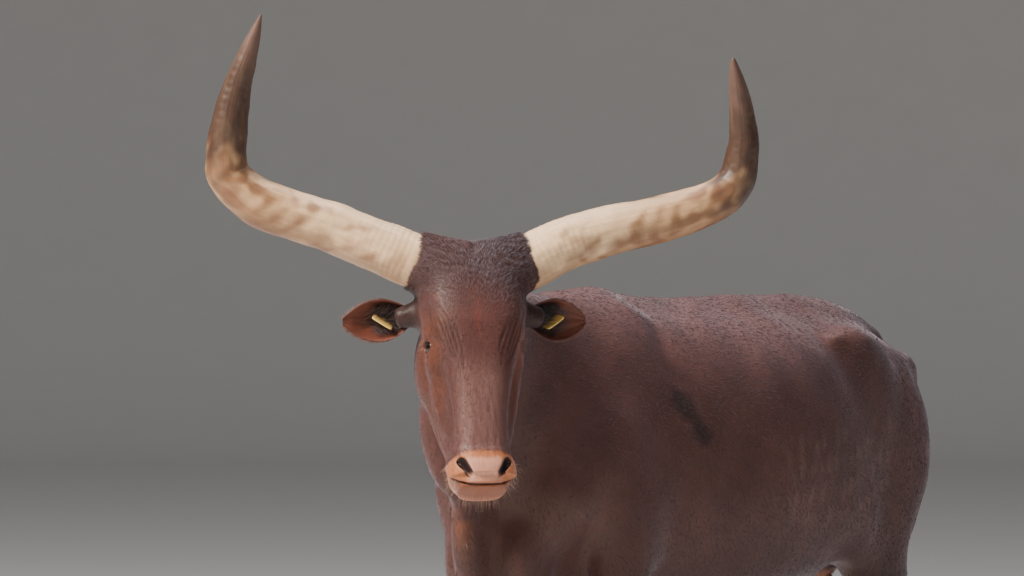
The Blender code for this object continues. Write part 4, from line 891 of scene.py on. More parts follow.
def horn_finish():
    """Horn: the tint attribute with long streaks along the wrap map and fine grain, and a dull polish."""
    made = Shader("horn", 0.42)
    wrap = made.add("ShaderNodeUVMap", uv_map="OFBake").outputs[0]
    stretch = made.add("ShaderNodeMapping")
    stretch.inputs["Scale"].default_value = (26, 3.2, 1)
    made.join(wrap, stretch.inputs["Vector"])
    streaks = made.group(MOTTLE, Colour=made.attribute("tint")["Color"], Place=stretch.outputs[0],
                         Scale=1.0,
                         Amount=0.75)
    grain = made.group(MOTTLE, Colour=streaks.outputs["Colour"], Place=made.place, Scale=60.0, Amount=0.5)
    made.join(grain.outputs["Colour"], made.surface.inputs["Base Color"])
    first = made.bump(streaks.outputs["Height"], 0.0016)
    made.join(made.bump(grain.outputs["Height"], 0.0007, 1.0, first), made.surface.inputs["Normal"])
    made.set(Specular_IOR_Level=0.45)
    return made.material


def claw_finish():
    """Hoof horn: dark, in fine bands along its height."""
    made = Shader("claw", 0.48)
    bands = made.add("ShaderNodeMapping")
    bands.inputs["Scale"].default_value = (1, 1, 9)
    made.join(made.place, bands.inputs["Vector"])
    tone = made.group(MOTTLE, Colour=(*srgb(82, 66, 56), 1), Place=bands.outputs[0], Scale=22.0, Amount=1.1)
    made.join(tone.outputs["Colour"], made.surface.inputs["Base Color"])
    made.join(made.bump(tone.outputs["Height"], 0.0012), made.surface.inputs["Normal"])
    return made.material


def eye_finish():
    """A dark wet eye: the tint attribute under a clear coat."""
    made = Shader("eye", 0.10)
    made.join(made.attribute("tint")["Color"], made.surface.inputs["Base Color"])
    made.set(Coat_Weight=0.25, Coat_Roughness=0.05, Specular_IOR_Level=0.35)
    return made.material


def tag_finish():
    """Moulded plastic with a fine grain, faded and dusty in patches."""
    made = Shader("tag", 0.42)
    dust = made.group(MOTTLE, Colour=(*srgb(246, 208, 118), 1), Place=made.place, Scale=55.0, Amount=0.45)
    grain = made.group(MOTTLE, Colour=dust.outputs["Colour"], Place=made.place, Scale=900.0, Amount=0.15)
    made.join(grain.outputs["Colour"], made.surface.inputs["Base Color"])
    made.join(made.bump(grain.outputs["Height"], 0.0002), made.surface.inputs["Normal"])
    made.set(Subsurface_Weight=0.1, Subsurface_Scale=0.004)
    return made.material


SKIN_FINISH = coat_finish("coat", 260.0, 0.0007, 0.25)
TUFT_FINISH = tuft_finish("coat_tufts", 0.55, 0.25)
HORN_FINISH, CLAW_FINISH, EYE_FINISH, TAG_FINISH = horn_finish(), claw_finish(), eye_finish(), tag_finish()


# The skin.
COAT_DEPTH, FACE_DEPTH = 0.0030, 0.0012
BODY_CELL, LEG_CELL, HEAD_CELL = 0.015, 0.0068, 0.0042
LEG_CUT = 0.585
SKIN_FOOT = 0.058
HEAD_CUT, HEAD_CUT_WAY = (0, 0.10, 0.03), (0, 0.96, 0.275)


def skin_field(p):
    """The flesh, less the coat's depth."""
    return flesh_field(p) + COAT_DEPTH + (FACE_DEPTH - COAT_DEPTH) * head_share(p)


def skin_shift(p):
    """Fine relief of the skin along its outward way: folds round the eyes and small unevenness."""
    q = to_head(p)
    head = head_share(p)
    folds = -0.0028 * brow_folds(q) * head
    creases = (0.0006 * waves(q * (1, 1, 0.25), 0.012, 22) * head
               * ramp(-0.25, -0.35, q[:, 2]) * ramp(0.02, -0.01, muzzle_line(q)))
    body = 0.0020 * waves(p, 0.14, 23) * (1 - head) * ramp(0.4, 0.7, p[:, 2])
    return folds + creases + body


def zone(field, low, high, cell, cuts):
    """The skin inside a box, less what lies behind the cuts, each a point and the way that is kept."""
    points, faces = skin_of(field, low, high, cell)
    made = bpy.data.meshes.new("zone")
    made.from_pydata(points.tolist(), [], faces.tolist())
    mesh = bmesh.new()
    mesh.from_mesh(made)
    bpy.data.meshes.remove(made)
    for point, way in cuts:
        everything = mesh.verts[:] + mesh.edges[:] + mesh.faces[:]
        bmesh.ops.bisect_plane(mesh, geom=everything, plane_co=point, plane_no=way, dist=1e-5,
                               clear_inner=True)
    return mesh


def largest_part(mesh):
    """Deletes all but the part with the most points."""
    left, parts = set(mesh.verts), []
    while left:
        stack, part = [left.pop()], []
        while stack:
            vertex = stack.pop()
            part.append(vertex)
            for edge in vertex.link_edges:
                other = edge.other_vert(vertex)
                if other in left:
                    left.discard(other)
                    stack.append(other)
        parts.append(part)
    parts.sort(key=len)
    bmesh.ops.delete(mesh, geom=[v for part in parts[:-1] for v in part], context="VERTS")


def rims(mesh):
    """The open rims, each as its list of edges."""
    left, found = {e for e in mesh.edges if e.is_boundary}, []
    while left:
        stack, rim = [left.pop()], []
        while stack:
            edge = stack.pop()
            rim.append(edge)
            for vertex in edge.verts:
                for other in vertex.link_edges:
                    if other in left:
                        left.discard(other)
                        stack.append(other)
        found.append(rim)
    return found


def middle_of(rim):
    return np.mean([v.co[:] for e in rim for v in e.verts], axis=0)


def relaxed(field, mesh, rounds, share=0.5):
    """Evens the points out along the skin and draws them back onto it."""
    mesh.verts.ensure_lookup_table()
    points = np.array([v.co[:] for v in mesh.verts])
    ends = np.array([[v.index for v in e.verts] for e in mesh.edges])
    ends = np.vstack([ends, ends[:, ::-1]])
    count = np.maximum(np.bincount(ends[:, 0], minlength=len(points)), 1)[:, None]
    for _ in range(rounds):
        middle = np.stack([np.bincount(ends[:, 0], points[ends[:, 1], i], len(points)) for i in range(3)],
                          1)
        points = points + share * (middle / count - points)
        value, slope = slope_of(field, points)
        points = points - np.clip(value[:, None] * slope / np.maximum((slope**2).sum(1), 0.05)[:, None],
                                  -0.006, 0.006)
    for vertex, place in zip(mesh.verts, points):
        vertex.co = place
    return points


def finer(mesh, wanted):
    """Halves the edges of the faces whose middles are wanted."""
    mesh.faces.ensure_lookup_table()
    middles = np.array([f.calc_center_median()[:] for f in mesh.faces])
    chosen = np.flatnonzero(wanted(middles))
    edges = {e for i in chosen for e in mesh.faces[i].edges}
    bmesh.ops.subdivide_edges(mesh, edges=list(edges), cuts=1, use_grid_fill=True)
    mesh.verts.index_update()


def fine_face(p):
    """Where the face needs the closest mesh: round the eyes, and the muzzle's front."""
    q = to_head(p)
    side = np.stack([np.abs(q[:, 0]), q[:, 1], q[:, 2]], 1)
    eye = np.linalg.norm(side - np.array(EYE), axis=1) < 0.085
    return eye & (q[:, 1] < 0.03) | (q[:, 2] < -0.425) & (q[:, 1] < 0.03)


def make_skin():
    """The skin: body, legs and head drawn on grids of their own fineness, cut flat and sewn at the cuts."""
    head_point = from_head(np.array(HEAD_CUT))
    head_way = unit(from_head(np.array(HEAD_CUT) + np.array(HEAD_CUT_WAY)) - head_point)
    whole = bmesh.new()
    parts = [
        ((-0.40, -0.80, 0.50), (0.40, 1.22, 1.48), BODY_CELL, [(head_point + head_way * 0.003, head_way),
                                                              ((0, 0, LEG_CUT + 0.002), (0, 0, 1))]),
        ((-0.10, -0.96, 0.82), (0.44, -0.36, 1.58), HEAD_CELL,
         [(head_point - head_way * 0.001, -head_way)]),
        ((-0.26, -0.36, 0.03), (0.26, 1.20, 0.66), LEG_CELL, [((0, 0, LEG_CUT - 0.002), (0, 0, -1)),
                                                             ((0, 0, SKIN_FOOT), (0, 0, 1))]),
    ]
    for index, (low, high, cell, cuts) in enumerate(parts):
        made = zone(skin_field, low, high, cell, cuts)
        if index < 2:
            largest_part(made)
        carried = bpy.data.meshes.new("carried")
        made.to_mesh(carried)
        made.free()
        whole.from_mesh(carried)
        bpy.data.meshes.remove(carried)
    open_rims = rims(whole)
    feet = [rim for rim in open_rims if middle_of(rim)[2] < 0.10]
    seams = [rim for rim in open_rims if middle_of(rim)[2] >= 0.10]
    bmesh.ops.holes_fill(whole, edges=[e for rim in feet for e in rim], sides=0)
    seams.sort(key=lambda rim: tuple(np.round(middle_of(rim), 1)))
    while seams:
        first = seams.pop()
        place = middle_of(first)
        second = min(seams, key=lambda rim: np.linalg.norm(middle_of(rim) - place))
        seams.remove(second)
        bmesh.ops.bridge_loops(whole, edges=first + second)
    whole.verts.index_update()
    finer(whole, fine_face)
    points = relaxed(skin_field, whole, 2)
    bmesh.ops.recalc_face_normals(whole, faces=whole.faces[:])
    made = bpy.data.meshes.new("skin")
    whole.to_mesh(made)
    whole.free()
    value, slope = slope_of(skin_field, points)
    out = unit(slope + 1e-9)
    foot = points[:, 2] < SKIN_FOOT + 0.002
    points[foot, 2] = SKIN_FOOT
    points = points + out * (skin_shift(points) * ~foot)[:, None]
    return made, points, out


def lie_space(p):
    """Coordinates squeezed along the hair's lie, so that noise on them runs in streaks along it."""
    head = head_share(p)[:, None]
    leg = ramp(0.80, 0.60, p[:, 2])[:, None]
    body = p * (1, 0.16, 0.75) * (1 - leg) + p * (1, 1, 0.14) * leg
    return body * (1 - head) + (to_head(p) * (1, 1, 0.16)) * head


def add_skin():
    made, points, out = make_skin()
    made.vertices.foreach_set("co", (points - np.array(MIDDLE)).astype(np.float32).ravel())
    layer = made.color_attributes.new("tint", "FLOAT_COLOR", "POINT")
    tint = coat_tint(points, out[:, 2])
    layer.data.foreach_set("color", np.column_stack([tint, np.ones(len(tint))]).astype(np.float32).ravel())
    layer = made.attributes.new("lie", "FLOAT_VECTOR", "POINT")
    layer.data.foreach_set("vector", lie_space(points).astype(np.float32).ravel())
    made.shade_smooth()
    made.materials.append(SKIN_FINISH)
    skin = bpy.data.objects.new("skin", made)
    bpy.context.scene.collection.objects.link(skin)
    flesh = ["head", "neck", "torso", "foreleg_left", "foreleg_right", "hindleg_left", "hindleg_right",
             "udder"]
    return keep(skin, "coat", *flesh)


# Horns.
HORN_CREAM = srgb(240, 200, 156)
HORN_MID = srgb(198, 154, 110)
HORN_DIRT_AND_SHADE = srgb(124, 80, 52)
HORN_UPPER = srgb(60, 40, 32)
HORN_TIP = srgb(106, 78, 68)


def horn(name, rows):
    """A horn: round rings along its curve, with low growth ridges near the base that fade along it."""
    steps, sides = 22, 72
    samples = curve_through(np.array(rows) * (HORN_SPREAD, 1, 1, 1), steps)
    turn = np.array(Matrix.Rotation(HEAD_TURN, 3, "Z"))
    centres = samples[:, :3] @ turn.T + np.array(POLL)
    along, across, rise = frames_along(centres, turn[:, 1])
    reach = np.concatenate([[0], np.cumsum(np.linalg.norm(np.diff(centres, axis=0), axis=1))])
    share = reach / reach[-1]
    angle = np.linspace(0, 2 * np.pi, sides, endpoint=False)
    way = (np.cos(angle)[None, :, None] * across[:, None] + np.sin(angle)[None, :, None] * rise[:, None])
    radius = samples[:, 3][:, None] * np.ones(sides)
    line = centres[:, None] + way * radius[..., None]
    flat = line.reshape(-1, 3)
    ridges = (0.0004 * np.sin(2 * np.pi * reach[:, None] / 0.013
                              + 1.5 * waves(flat, 0.10, 31).reshape(radius.shape))
              * ramp(0.30, 0.05, share)[:, None])
    lumps = 0.0016 * waves(flat, 0.09, 32).reshape(radius.shape) * ramp(1.0, 0.7, share)[:, None]
    fine = 0.0005 * waves(flat, 0.018, 33).reshape(radius.shape) * ramp(1.0, 0.8, share)[:, None]
    rings = centres[:, None] + way * (radius - 0.0016 + ridges + lumps + fine)[..., None]
    rings = np.concatenate([rings[:1] - along[0] * 0.020, rings])
    share = np.concatenate([[0], share])
    points, faces = loft(rings)
    p = rings.reshape(-1, 3)
    along_share = np.repeat(share, sides)
    tilt = np.concatenate([way[:1], way]).reshape(-1, 3)[:, 2]
    tint = np.repeat(HORN_CREAM[None], len(p), 0)
    tint = over(tint, HORN_MID, 0.8 * ramp(0.18, 0.42, along_share + 0.05 * waves(p, 0.12, 34)))
    # Painted shade: darker on the horn's underside.
    tint = over(tint, HORN_DIRT_AND_SHADE, 0.60 * ramp(0.1, -0.75, tilt + 0.5 * waves(p, 0.05, 35))
                * ramp(0.62, 0.5, along_share))
    drawn_out = np.column_stack([along_share * 0.22, 0.02 * np.cos(np.tile(angle, len(rings))),
                                 0.02 * np.sin(np.tile(angle, len(rings)))])
    stain = 0.6 * waves(drawn_out, 0.030, 36, 12) + 0.5 * waves(drawn_out, 0.012, 39, 12)
    # Dirt streaks along the horn, fewer where it faces up, which keeps its top pale as a painted highlight.
    tint = over(tint, HORN_DIRT_AND_SHADE, 0.8 * ramp(0.15, 0.85, stain + 0.65 * ramp(0.10, 0.50, along_share)
                                            - 0.5 * ramp(0.3, 0.9, tilt)))
    tint = over(tint, HORN_UPPER, 0.93 * ramp(0.50, 0.66, along_share + 0.04 * waves(p, 0.05, 37)))
    tint = over(tint, HORN_TIP, 0.8 * ramp(0.80, 0.95, along_share + 0.03 * waves(p, 0.03, 38)))
    tint = np.vstack([tint, tint[0], tint[-1]])
    turns = np.tile(np.arange(sides) / sides, len(rings))
    wrap = np.column_stack([turns, along_share])
    wrap = np.vstack([wrap, [0.5, 0], [0.5, 1]])
    made = faced_out(mesh_object(f"horn_shell_{name}", points, faces, HORN_FINISH, wrap, tint))
    return keep(made, "horn", f"horn_{name}")


# Eyes, ears and tags.
IRIS = srgb(34, 18, 13)
EYE_WHITE = srgb(62, 42, 36)


def eyeball(name, side):
    """A ball turned to the eye's way: a dark iris, a level oval pupil and a low clear bulge."""
    rings, sides = 40, 56
    polar = np.linspace(0, np.pi, rings + 2)[1:-1]
    angle = np.linspace(0, 2 * np.pi, sides, endpoint=False)
    bulge = 0.0009 * ramp(0.75, 0.35, polar)
    size = (EYE_RADIUS - 0.0004 + bulge)[:, None]
    local = np.stack([np.sin(polar)[:, None] * np.cos(angle) * size,
                      np.sin(polar)[:, None] * np.sin(angle) * size,
                      np.cos(polar)[:, None] * np.ones(sides) * size], -1)
    way = unit(np.array(EYE_WAY) * (side, 1, 1))
    across = unit(np.cross((0, 0, 1.0), way))
    up = np.cross(way, across)
    centre = np.array(EYE) * (side, 1, 1)
    rings_q = centre + local[..., :1] * across + local[..., 1:2] * up + local[..., 2:] * way
    points, faces = loft(from_head(rings_q.reshape(-1, 3)).reshape(rings_q.shape))
    flat = local.reshape(-1, 3)
    round_share = np.hypot(flat[:, 0], flat[:, 1]) / EYE_RADIUS
    front = flat[:, 2] > 0
    pupil = np.sqrt((flat[:, 0] / 0.0085) ** 2 + (flat[:, 1] / 0.0042) ** 2)
    tint = np.repeat(EYE_WHITE[None], len(flat), 0)
    tint = over(tint, IRIS, ramp(0.80, 0.72, round_share) * front)
    tint = over(tint, (0.002, 0.002, 0.003), ramp(1.1, 0.9, pupil) * front)
    tint = np.vstack([tint, tint[0], tint[-1]])
    return keep(faced_out(mesh_object(f"eyeball_{name}", points, faces, EYE_FINISH, None, tint)), "eye",
                f"eye_{name}")


def ear_line(name, side, count):
    """The ear's middle line in the head's axes, read at this many steps, with its widths."""
    first, last = unit(np.array(EAR_WAY) * (side, 1, 1)), unit(np.array(EARS[name][0]))
    opening = np.array(EARS[name][1])
    steps = len(EAR_WIDTHS)
    share = (1 - np.linspace(0, 1, steps)[:, None]) ** 1.5
    along = unit(first * share + last * (1 - share))
    gone = np.cumsum(along[:-1] * EAR_LENGTH / (steps - 1), 0)
    at = np.array(EAR_SEAT) * (side, 1, 1) + np.vstack([np.zeros(3), gone])
    fine = np.linspace(0, steps - 1, count)
    rows = np.column_stack([at, EAR_WIDTHS, EAR_CUPS])
    rows = curve_through(rows, 12)
    rows = np.stack([np.interp(fine, np.arange(len(rows)) / 12, column) for column in rows.T], 1)
    along = unit(np.gradient(rows[:, :3], axis=0))
    opens = unit(opening - along * (along @ opening)[:, None])
    return rows, along, opens, np.cross(along, opens)


def ear(name, side):
    """A cupped leaf: each ring runs over its back and returns in the cup, with a rounded rim between."""
    rows, along, opens, wide = ear_line(name, side, 44)
    sweep = np.linspace(-np.pi / 2, np.pi / 2, 25)
    half, cup = rows[:, 3] - 0.001, rows[:, 4]
    thick = np.minimum(EAR_THICK, cup * 0.45)
    back = (rows[:, None, :3] + wide[:, None] * (half[:, None] * np.sin(sweep))[..., None]
            - opens[:, None] * (cup[:, None] * np.cos(sweep))[..., None])
    inner_sweep = sweep[::-1][1:-1]
    front = (rows[:, None, :3]
             + wide[:, None] * ((half - thick * 0.55)[:, None] * np.sin(inner_sweep))[..., None]
             - opens[:, None] * ((cup - thick)[:, None] * np.cos(inner_sweep))[..., None])
    seams = 0.0007 * np.sin(inner_sweep * 9)[None, :] * ramp(0, 0.3, np.linspace(0, 1, len(rows)))[:, None]
    front = front + opens[:, None] * seams[..., None]
    rings = np.concatenate([back, front], 1)
    root = rings[:1] - along[0] * 0.016
    rings = np.concatenate([root, rings])
    share = np.repeat(np.concatenate([[0], np.linspace(0, 1, len(rows))]), rings.shape[1])
    inside = np.tile(np.concatenate([np.zeros(25), np.ones(23)]), len(rings))
    inside[::rings.shape[1]] = 0.4
    placed = from_head(rings.reshape(-1, 3))
    points, faces = loft(placed.reshape(rings.shape))
    tint = np.repeat(EAR_OUT[None], len(placed), 0)
    up = -side * np.concatenate([np.sin(sweep), np.sin(inner_sweep)])
    up = np.tile(up, len(rings))
    tint = over(tint, EAR_IN, inside * (1 - 0.35 * ramp(0.5, 1, share)))
    # Painted shade: the cup darkens in its upper half and towards its root, short of the rim.
    tint = over(tint, EAR_SHADE, 0.92 * inside * ramp(-0.50, -0.05, up + 0.25 * waves(placed, 0.05, 43))
                * ramp(0.99, 0.90, up) * ramp(0.85, 0.45, share + 0.15 * up))
    tint = over(tint, EAR_RIM, 0.5 * ramp(0.955, 0.99, np.abs(up)))
    tint = tint * (1 + 0.12 * waves(placed, 0.03, 41) + 0.08 * waves(placed, 0.008, 42))[:, None]
    tint = np.vstack([tint, tint[0], tint[-1]])
    made = faced_out(mesh_object(f"ear_shell_{name}", points, faces, SKIN_FINISH, None, tint))
    lie = made.data.attributes.new("lie", "FLOAT_VECTOR", "POINT")
    space = np.column_stack([share, np.tile(np.linspace(0, 1, rings.shape[1]), len(rings)),
                             0 * share]) * (0.05, 0.2, 1)
    lie.data.foreach_set("vector", np.vstack([space, space[0], space[-1]]).astype(np.float32).ravel())
    return keep(made, "ear_coat", f"ear_{name}")


def rounded_plate(centre, along, out, long, deep, thick, corner=0.16):
    """Rings of a plate with round corners and soft edges: a superellipse, drawn in towards both faces."""
    normal = np.cross(along, out)
    angle = np.linspace(0, 2 * np.pi, 48, endpoint=False)
    power = corner * 2
    x = np.sign(np.cos(angle)) * np.abs(np.cos(angle)) ** power
    y = np.sign(np.sin(angle)) * np.abs(np.sin(angle)) ** power
    profile = [(-0.0030, -0.5), (-0.0009, -0.5), (-0.0003, -0.42), (0, -0.25), (0, 0.25), (-0.0003, 0.42),
               (-0.0009, 0.5), (-0.0030, 0.5)]
    return [centre + along * (x * (long / 2 + inset))[:, None] + out * (y * (deep / 2 + inset))[:, None]
            + normal * thick * level for inset, level in profile]


def turned(start, way, profile, sides=40):
    """Rings of a turned shape: each row is the reach along the way and the radius."""
    way = unit(np.array(way, float))
    across = unit(np.cross(way, (0.3, 0.2, 0.93)))
    rise = np.cross(way, across)
    angle = np.linspace(0, 2 * np.pi, sides, endpoint=False)[:, None]
    return [start + way * reach + (np.cos(angle) * across + np.sin(angle) * rise) * size
            for reach, size in profile]


def joined(name, lofts, finish, slot, *nodes):
    """One mesh of several closed lofts."""
    points, faces, start = [], [], 0
    for rings in lofts:
        p, f = loft(rings)
        points.append(p)
        faces += [[i + start for i in face] for face in f]
        start += len(p)
    return keep(faced_out(mesh_object(name, np.vstack(points), faces, finish)), slot, *nodes)


def ear_tag(name, side):
    """The plate in the ear's cup, its turned stem and the round button behind, placed as in the solids."""
    rows, along, opens, wide = (values[TAG_STEP] for values in ear_line(name, side, len(EAR_WIDTHS)))
    at = rows[:3]
    long_way = along * math.cos(TAG_TILT) - wide * side * math.sin(TAG_TILT)
    out = unit(opens * 0.94 - np.cross(opens, long_way) * side * 0.34)
    back = at - opens * EAR_CUPS[TAG_STEP]
    turn = np.array(Matrix.Rotation(HEAD_TURN, 3, "Z") @ Matrix.Rotation(HEAD_NOD, 3, "X"))
    way = turn @ opens
    middle = back + opens * (EAR_THICK + TAG_STAND) + out * TAG_DEEP / 2
    plate = rounded_plate(from_head(middle), turn @ long_way, turn @ out, TAG_LONG, TAG_DEEP, 0.0026)
    stem_end = EAR_THICK + TAG_STAND + 0.004
    stem = turned(from_head(back - opens * 0.004), way,
                  [(0, 0.0024), (0.003, 0.0030), (stem_end, 0.0030),
                   (stem_end + 0.0016, 0.0050), (stem_end + 0.0030, 0.0044)])
    button = turned(from_head(back - opens * 0.0042), way,
                    [(-0.0010, 0.0040), (-0.0009, 0.0078), (-0.0004, 0.0088),
                     (0.0004, 0.0090), (0.0014, 0.0088), (0.0018, 0.0080)])
    return joined(f"ear_tag_plate_{name}", [plate, stem, button], TAG_FINISH, "tag", f"ear_tag_{name}")


# Claws.
CLAW_RINGS = [(0, 0.050, 0.084, 0.044), (0.012, 0.0505, 0.080, 0.046), (0.040, 0.0485, 0.062, 0.047),
              (CORONET, 0.0455, 0.048, 0.046)]
CLEFT = 0.0022


def claw_pair(name, side, centre_y):
    """Both claws of a foot: each ring is half an oval with a flat inner wall, ribbed by growth rings."""
    heights = np.array([row[0] for row in CLAW_RINGS])
    levels = np.concatenate([[0.0, 0.0005, 0.002, 0.005], np.linspace(0.008, CORONET + 0.004, 34)])
    sweep = np.linspace(-np.pi / 2, np.pi / 2, 26)
    for part, away in (("outer", side), ("inner", -side)):
        rings = []
        for level in levels:
            wide, toe, heel = (np.interp(level, heights, [row[k] for row in CLAW_RINGS]) for k in (1, 2, 3))
            inset = 0.0030 * (1 - min(level / 0.005, 1)) ** 2 + 0.0005
            rib = 0.0006 * np.sin(level * 900 + 0.6 * np.sin(level * 260 + side)) * (level > 0.004)
            toe, heel, wide = toe - inset + rib, heel - inset + rib, wide - inset + rib
            reach = np.where(np.sin(sweep) < 0, toe, heel)
            inner = CLEFT + 0.0006 + inset
            x = inner + (wide - inner) * np.cos(sweep) ** 0.75
            y = np.sin(sweep) * reach
            flat = np.linspace(y[-1], y[0], 12)[1:-1]
            hollow = inner + 0.0035 * np.sin(np.pi * np.linspace(0, 1, 12)[1:-1])
            x, y = np.concatenate([x, hollow]), np.concatenate([y, flat])
            rings.append(np.stack([side * LEG_SPREAD + away * x, centre_y + y, np.full(len(x), level)], 1))
        points, faces = loft(rings)
        made = faced_out(mesh_object(f"claw_shell_{name}_{part}", points, faces, CLAW_FINISH))
        keep(made, "claw", f"claw_{name}_{part}")


# Tail and teats.
def tail():
    """The tail: round rings along its line, its root sunk in the rump."""
    samples = curve_through(np.array(TAIL), 14)
    centres = np.vstack([samples[:1, :3] - unit(np.array(TAIL_WAY)) * 0.03, samples[:, :3]])
    radii = np.concatenate([[TAIL[0][3]], samples[:, 3]]) - 0.0025
    along, across, rise = frames_along(centres, (1, 0, 0))
    angle = np.linspace(0, 2 * np.pi, 28, endpoint=False)
    ring_way = np.cos(angle)[None, :, None] * across[:, None] + np.sin(angle)[None, :, None] * rise[:, None]
    rings = centres[:, None] + ring_way * radii[:, None, None]
    p = rings.reshape(-1, 3)
    points, faces = loft(rings)
    tint = over(coat_tint(p, ring_way.reshape(-1, 3)[:, 2] * 0.3), SWITCH_HAIR,
                0.8 * ramp(0.95, 0.66, p[:, 2]))
    tint = np.vstack([tint, tint[0], tint[-1]])
    made = faced_out(mesh_object("tail_skin", points, faces, SKIN_FINISH, None, tint))
    lie = made.data.attributes.new("lie", "FLOAT_VECTOR", "POINT")
    lie.data.foreach_set("vector", (points * (1, 1, 0.15)).astype(np.float32).ravel())
    return keep(made, "coat", "tail")


def strands(name, lines, sizes, tints, finish, slot, *nodes, flat=0.45, uv, facing=(0.31, 0.77, 0.55)):
    """Closed hairs along many lines at once: rings of three points, thinning to one tip point.

    lines is (hairs, steps, 3), sizes is (hairs, steps) half widths, tints is (hairs, steps, 3), uv has each
    root's place on the unwrap, and facing is each hair's upper side.
    """
    count, steps = lines.shape[:2]
    along = unit(np.gradient(lines, axis=1) + 1e-9)
    facing = np.broadcast_to(np.asarray(facing, float), (count, 3))
    across = unit(np.cross(along, facing[:, None]) + 1e-9)
    rise = np.cross(across, along)
    angle = np.array([np.pi / 2, np.pi / 2 + 2 * np.pi / 3, np.pi / 2 + 4 * np.pi / 3])
    ring = (np.cos(angle)[:, None] * across[:, :-1, None]
            + flat * np.sin(angle)[:, None] * rise[:, :-1, None])
    body = lines[:, :-1, None] + ring * sizes[:, :-1, None, None]
    points = np.concatenate([body.reshape(count, -1, 3), lines[:, -1:]], 1)
    tint = np.concatenate([np.repeat(tints[:, :-1], 3, 1), tints[:, -1:]], 1)
    rows = np.arange((steps - 1) * 3).reshape(steps - 1, 3)
    nxt = np.roll(rows, -1, 1)
    lower, upper = rows[:-1], rows[1:]
    quads = np.stack([lower, nxt[:-1], nxt[1:], upper], -1).reshape(-1, 4)
    tris = np.concatenate([quads[:, [0, 1, 2]], quads[:, [0, 2, 3]],
                           np.stack([rows[-1], nxt[-1], np.full(3, (steps - 1) * 3)], -1), [[2, 1, 0]]])
    per = points.shape[1]
    faces = (tris[None] + np.arange(count)[:, None, None] * per).reshape(-1, 3)
    spot = np.stack([np.cos(2.4 * np.arange(per)), np.sin(2.4 * np.arange(per))], 1) * TUFT_PATCH / 2
    uv = (uv[:, None] + spot).reshape(-1, 2)
    made = mesh_object(name, points.reshape(-1, 3), faces, finish, uv, tint.reshape(-1, 3))
    return keep(made, slot, *nodes)


TUFT_PATCH = 0.003


def skin_samples(skin, count, seed, weight):
    """Random places on the skin, even over its area times the weight: the places and their outward ways."""
    mesh = skin.data
    mesh.calc_loop_triangles()
    corners = np.zeros(len(mesh.loop_triangles) * 3, np.int32)
    mesh.loop_triangles.foreach_get("vertices", corners)
    corners = corners.reshape(-1, 3)
    points, outs = (np.zeros(len(mesh.vertices) * 3, np.float32) for _ in range(2))
    mesh.vertices.foreach_get("co", points)
    mesh.vertex_normals.foreach_get("vector", outs)
    points, outs = points.reshape(-1, 3).astype(float) + np.array(MIDDLE), outs.reshape(-1, 3).astype(float)
    a, b, c = (points[corners[:, i]] for i in range(3))
    area = np.linalg.norm(np.cross(b - a, c - a), axis=1) / 2
    share = np.cumsum(area * weight((a + b + c) / 3))
    draw = np.random.default_rng(seed)
    chosen = np.searchsorted(share, draw.uniform(0, share[-1], count))
    u, v = draw.uniform(0, 1, (2, count))
    u, v = np.where(u + v > 1, 1 - u, u), np.where(u + v > 1, 1 - v, v)
    mix = np.stack([1 - u - v, u, v], 1)[:, :, None]
    return (points[corners[chosen]] * mix).sum(1), unit((outs[corners[chosen]] * mix).sum(1)), draw


def around(first, second, along, low, high):
    """A turned unwrap: the angle round a middle line, and the place along it."""
    angle = np.arctan2(first, second) / (2 * np.pi) + 0.5
    return np.stack([0.01 + 0.98 * angle, 0.01 + 0.98 * np.clip((along - low) / (high - low), 0, 1)], 1)


def tufts(name, p, out, lie, length, wide, lift, draw, uv):
    """Flat-lying tufts: each leaves the skin, bends over along the lie and ends in a raised tip."""
    count = len(p)
    length = length * draw.uniform(0.75, 1.25, count)
    wide = wide * draw.uniform(0.75, 1.25, count)
    lift = lift * draw.uniform(0.6, 1.4, count)
    side = np.cross(out, lie)
    lie = unit(lie + side * draw.normal(0, 0.13, count)[:, None])
    lines = np.stack([p - out * 0.0012, p + lie * (length * 0.45)[:, None] + out * (lift * 0.75)[:, None],
                      p + lie * length[:, None] + out * lift[:, None]], 1)
    sizes = np.stack([wide, wide * 0.85, 0 * wide], 1)
    tint = coat_tint(p, out[:, 2]) * draw.uniform(0.92, 1.10, count)[:, None]
    tints = tint[:, None] * np.array([0.94, 1.0, 1.06])[None, :, None]
    strands(name, lines, sizes, tints, TUFT_FINISH, "coat", flat=0.3, uv=uv, facing=out)


def body_coat(skin):
    """The body's tufts, in bands from front to back."""
    def weight(p):
        return (1 - head_share(p)) * ramp(0.58, 0.64, p[:, 2]) * (0.45 + 0.55 * ramp(0.62, 0.9, p[:, 2]))
    p, out, draw = skin_samples(skin, 4 * BAND_TUFTS, 61, weight)
    order = np.argsort(p[:, 1])
    for band, chosen in enumerate(np.array_split(order, 4)):
        place, way = p[chosen], out[chosen]
        uv = around(place[:, 0], place[:, 2] - 0.98, place[:, 1], -0.75, 1.22)
        under = ramp(0.72, 0.64, place[:, 2])
        tufts(f"coat_body_{band + 1}", place, way, coat_lie(place, way), 0.015, 0.0006,
              0.0008 + 0.003 * under, draw, uv)


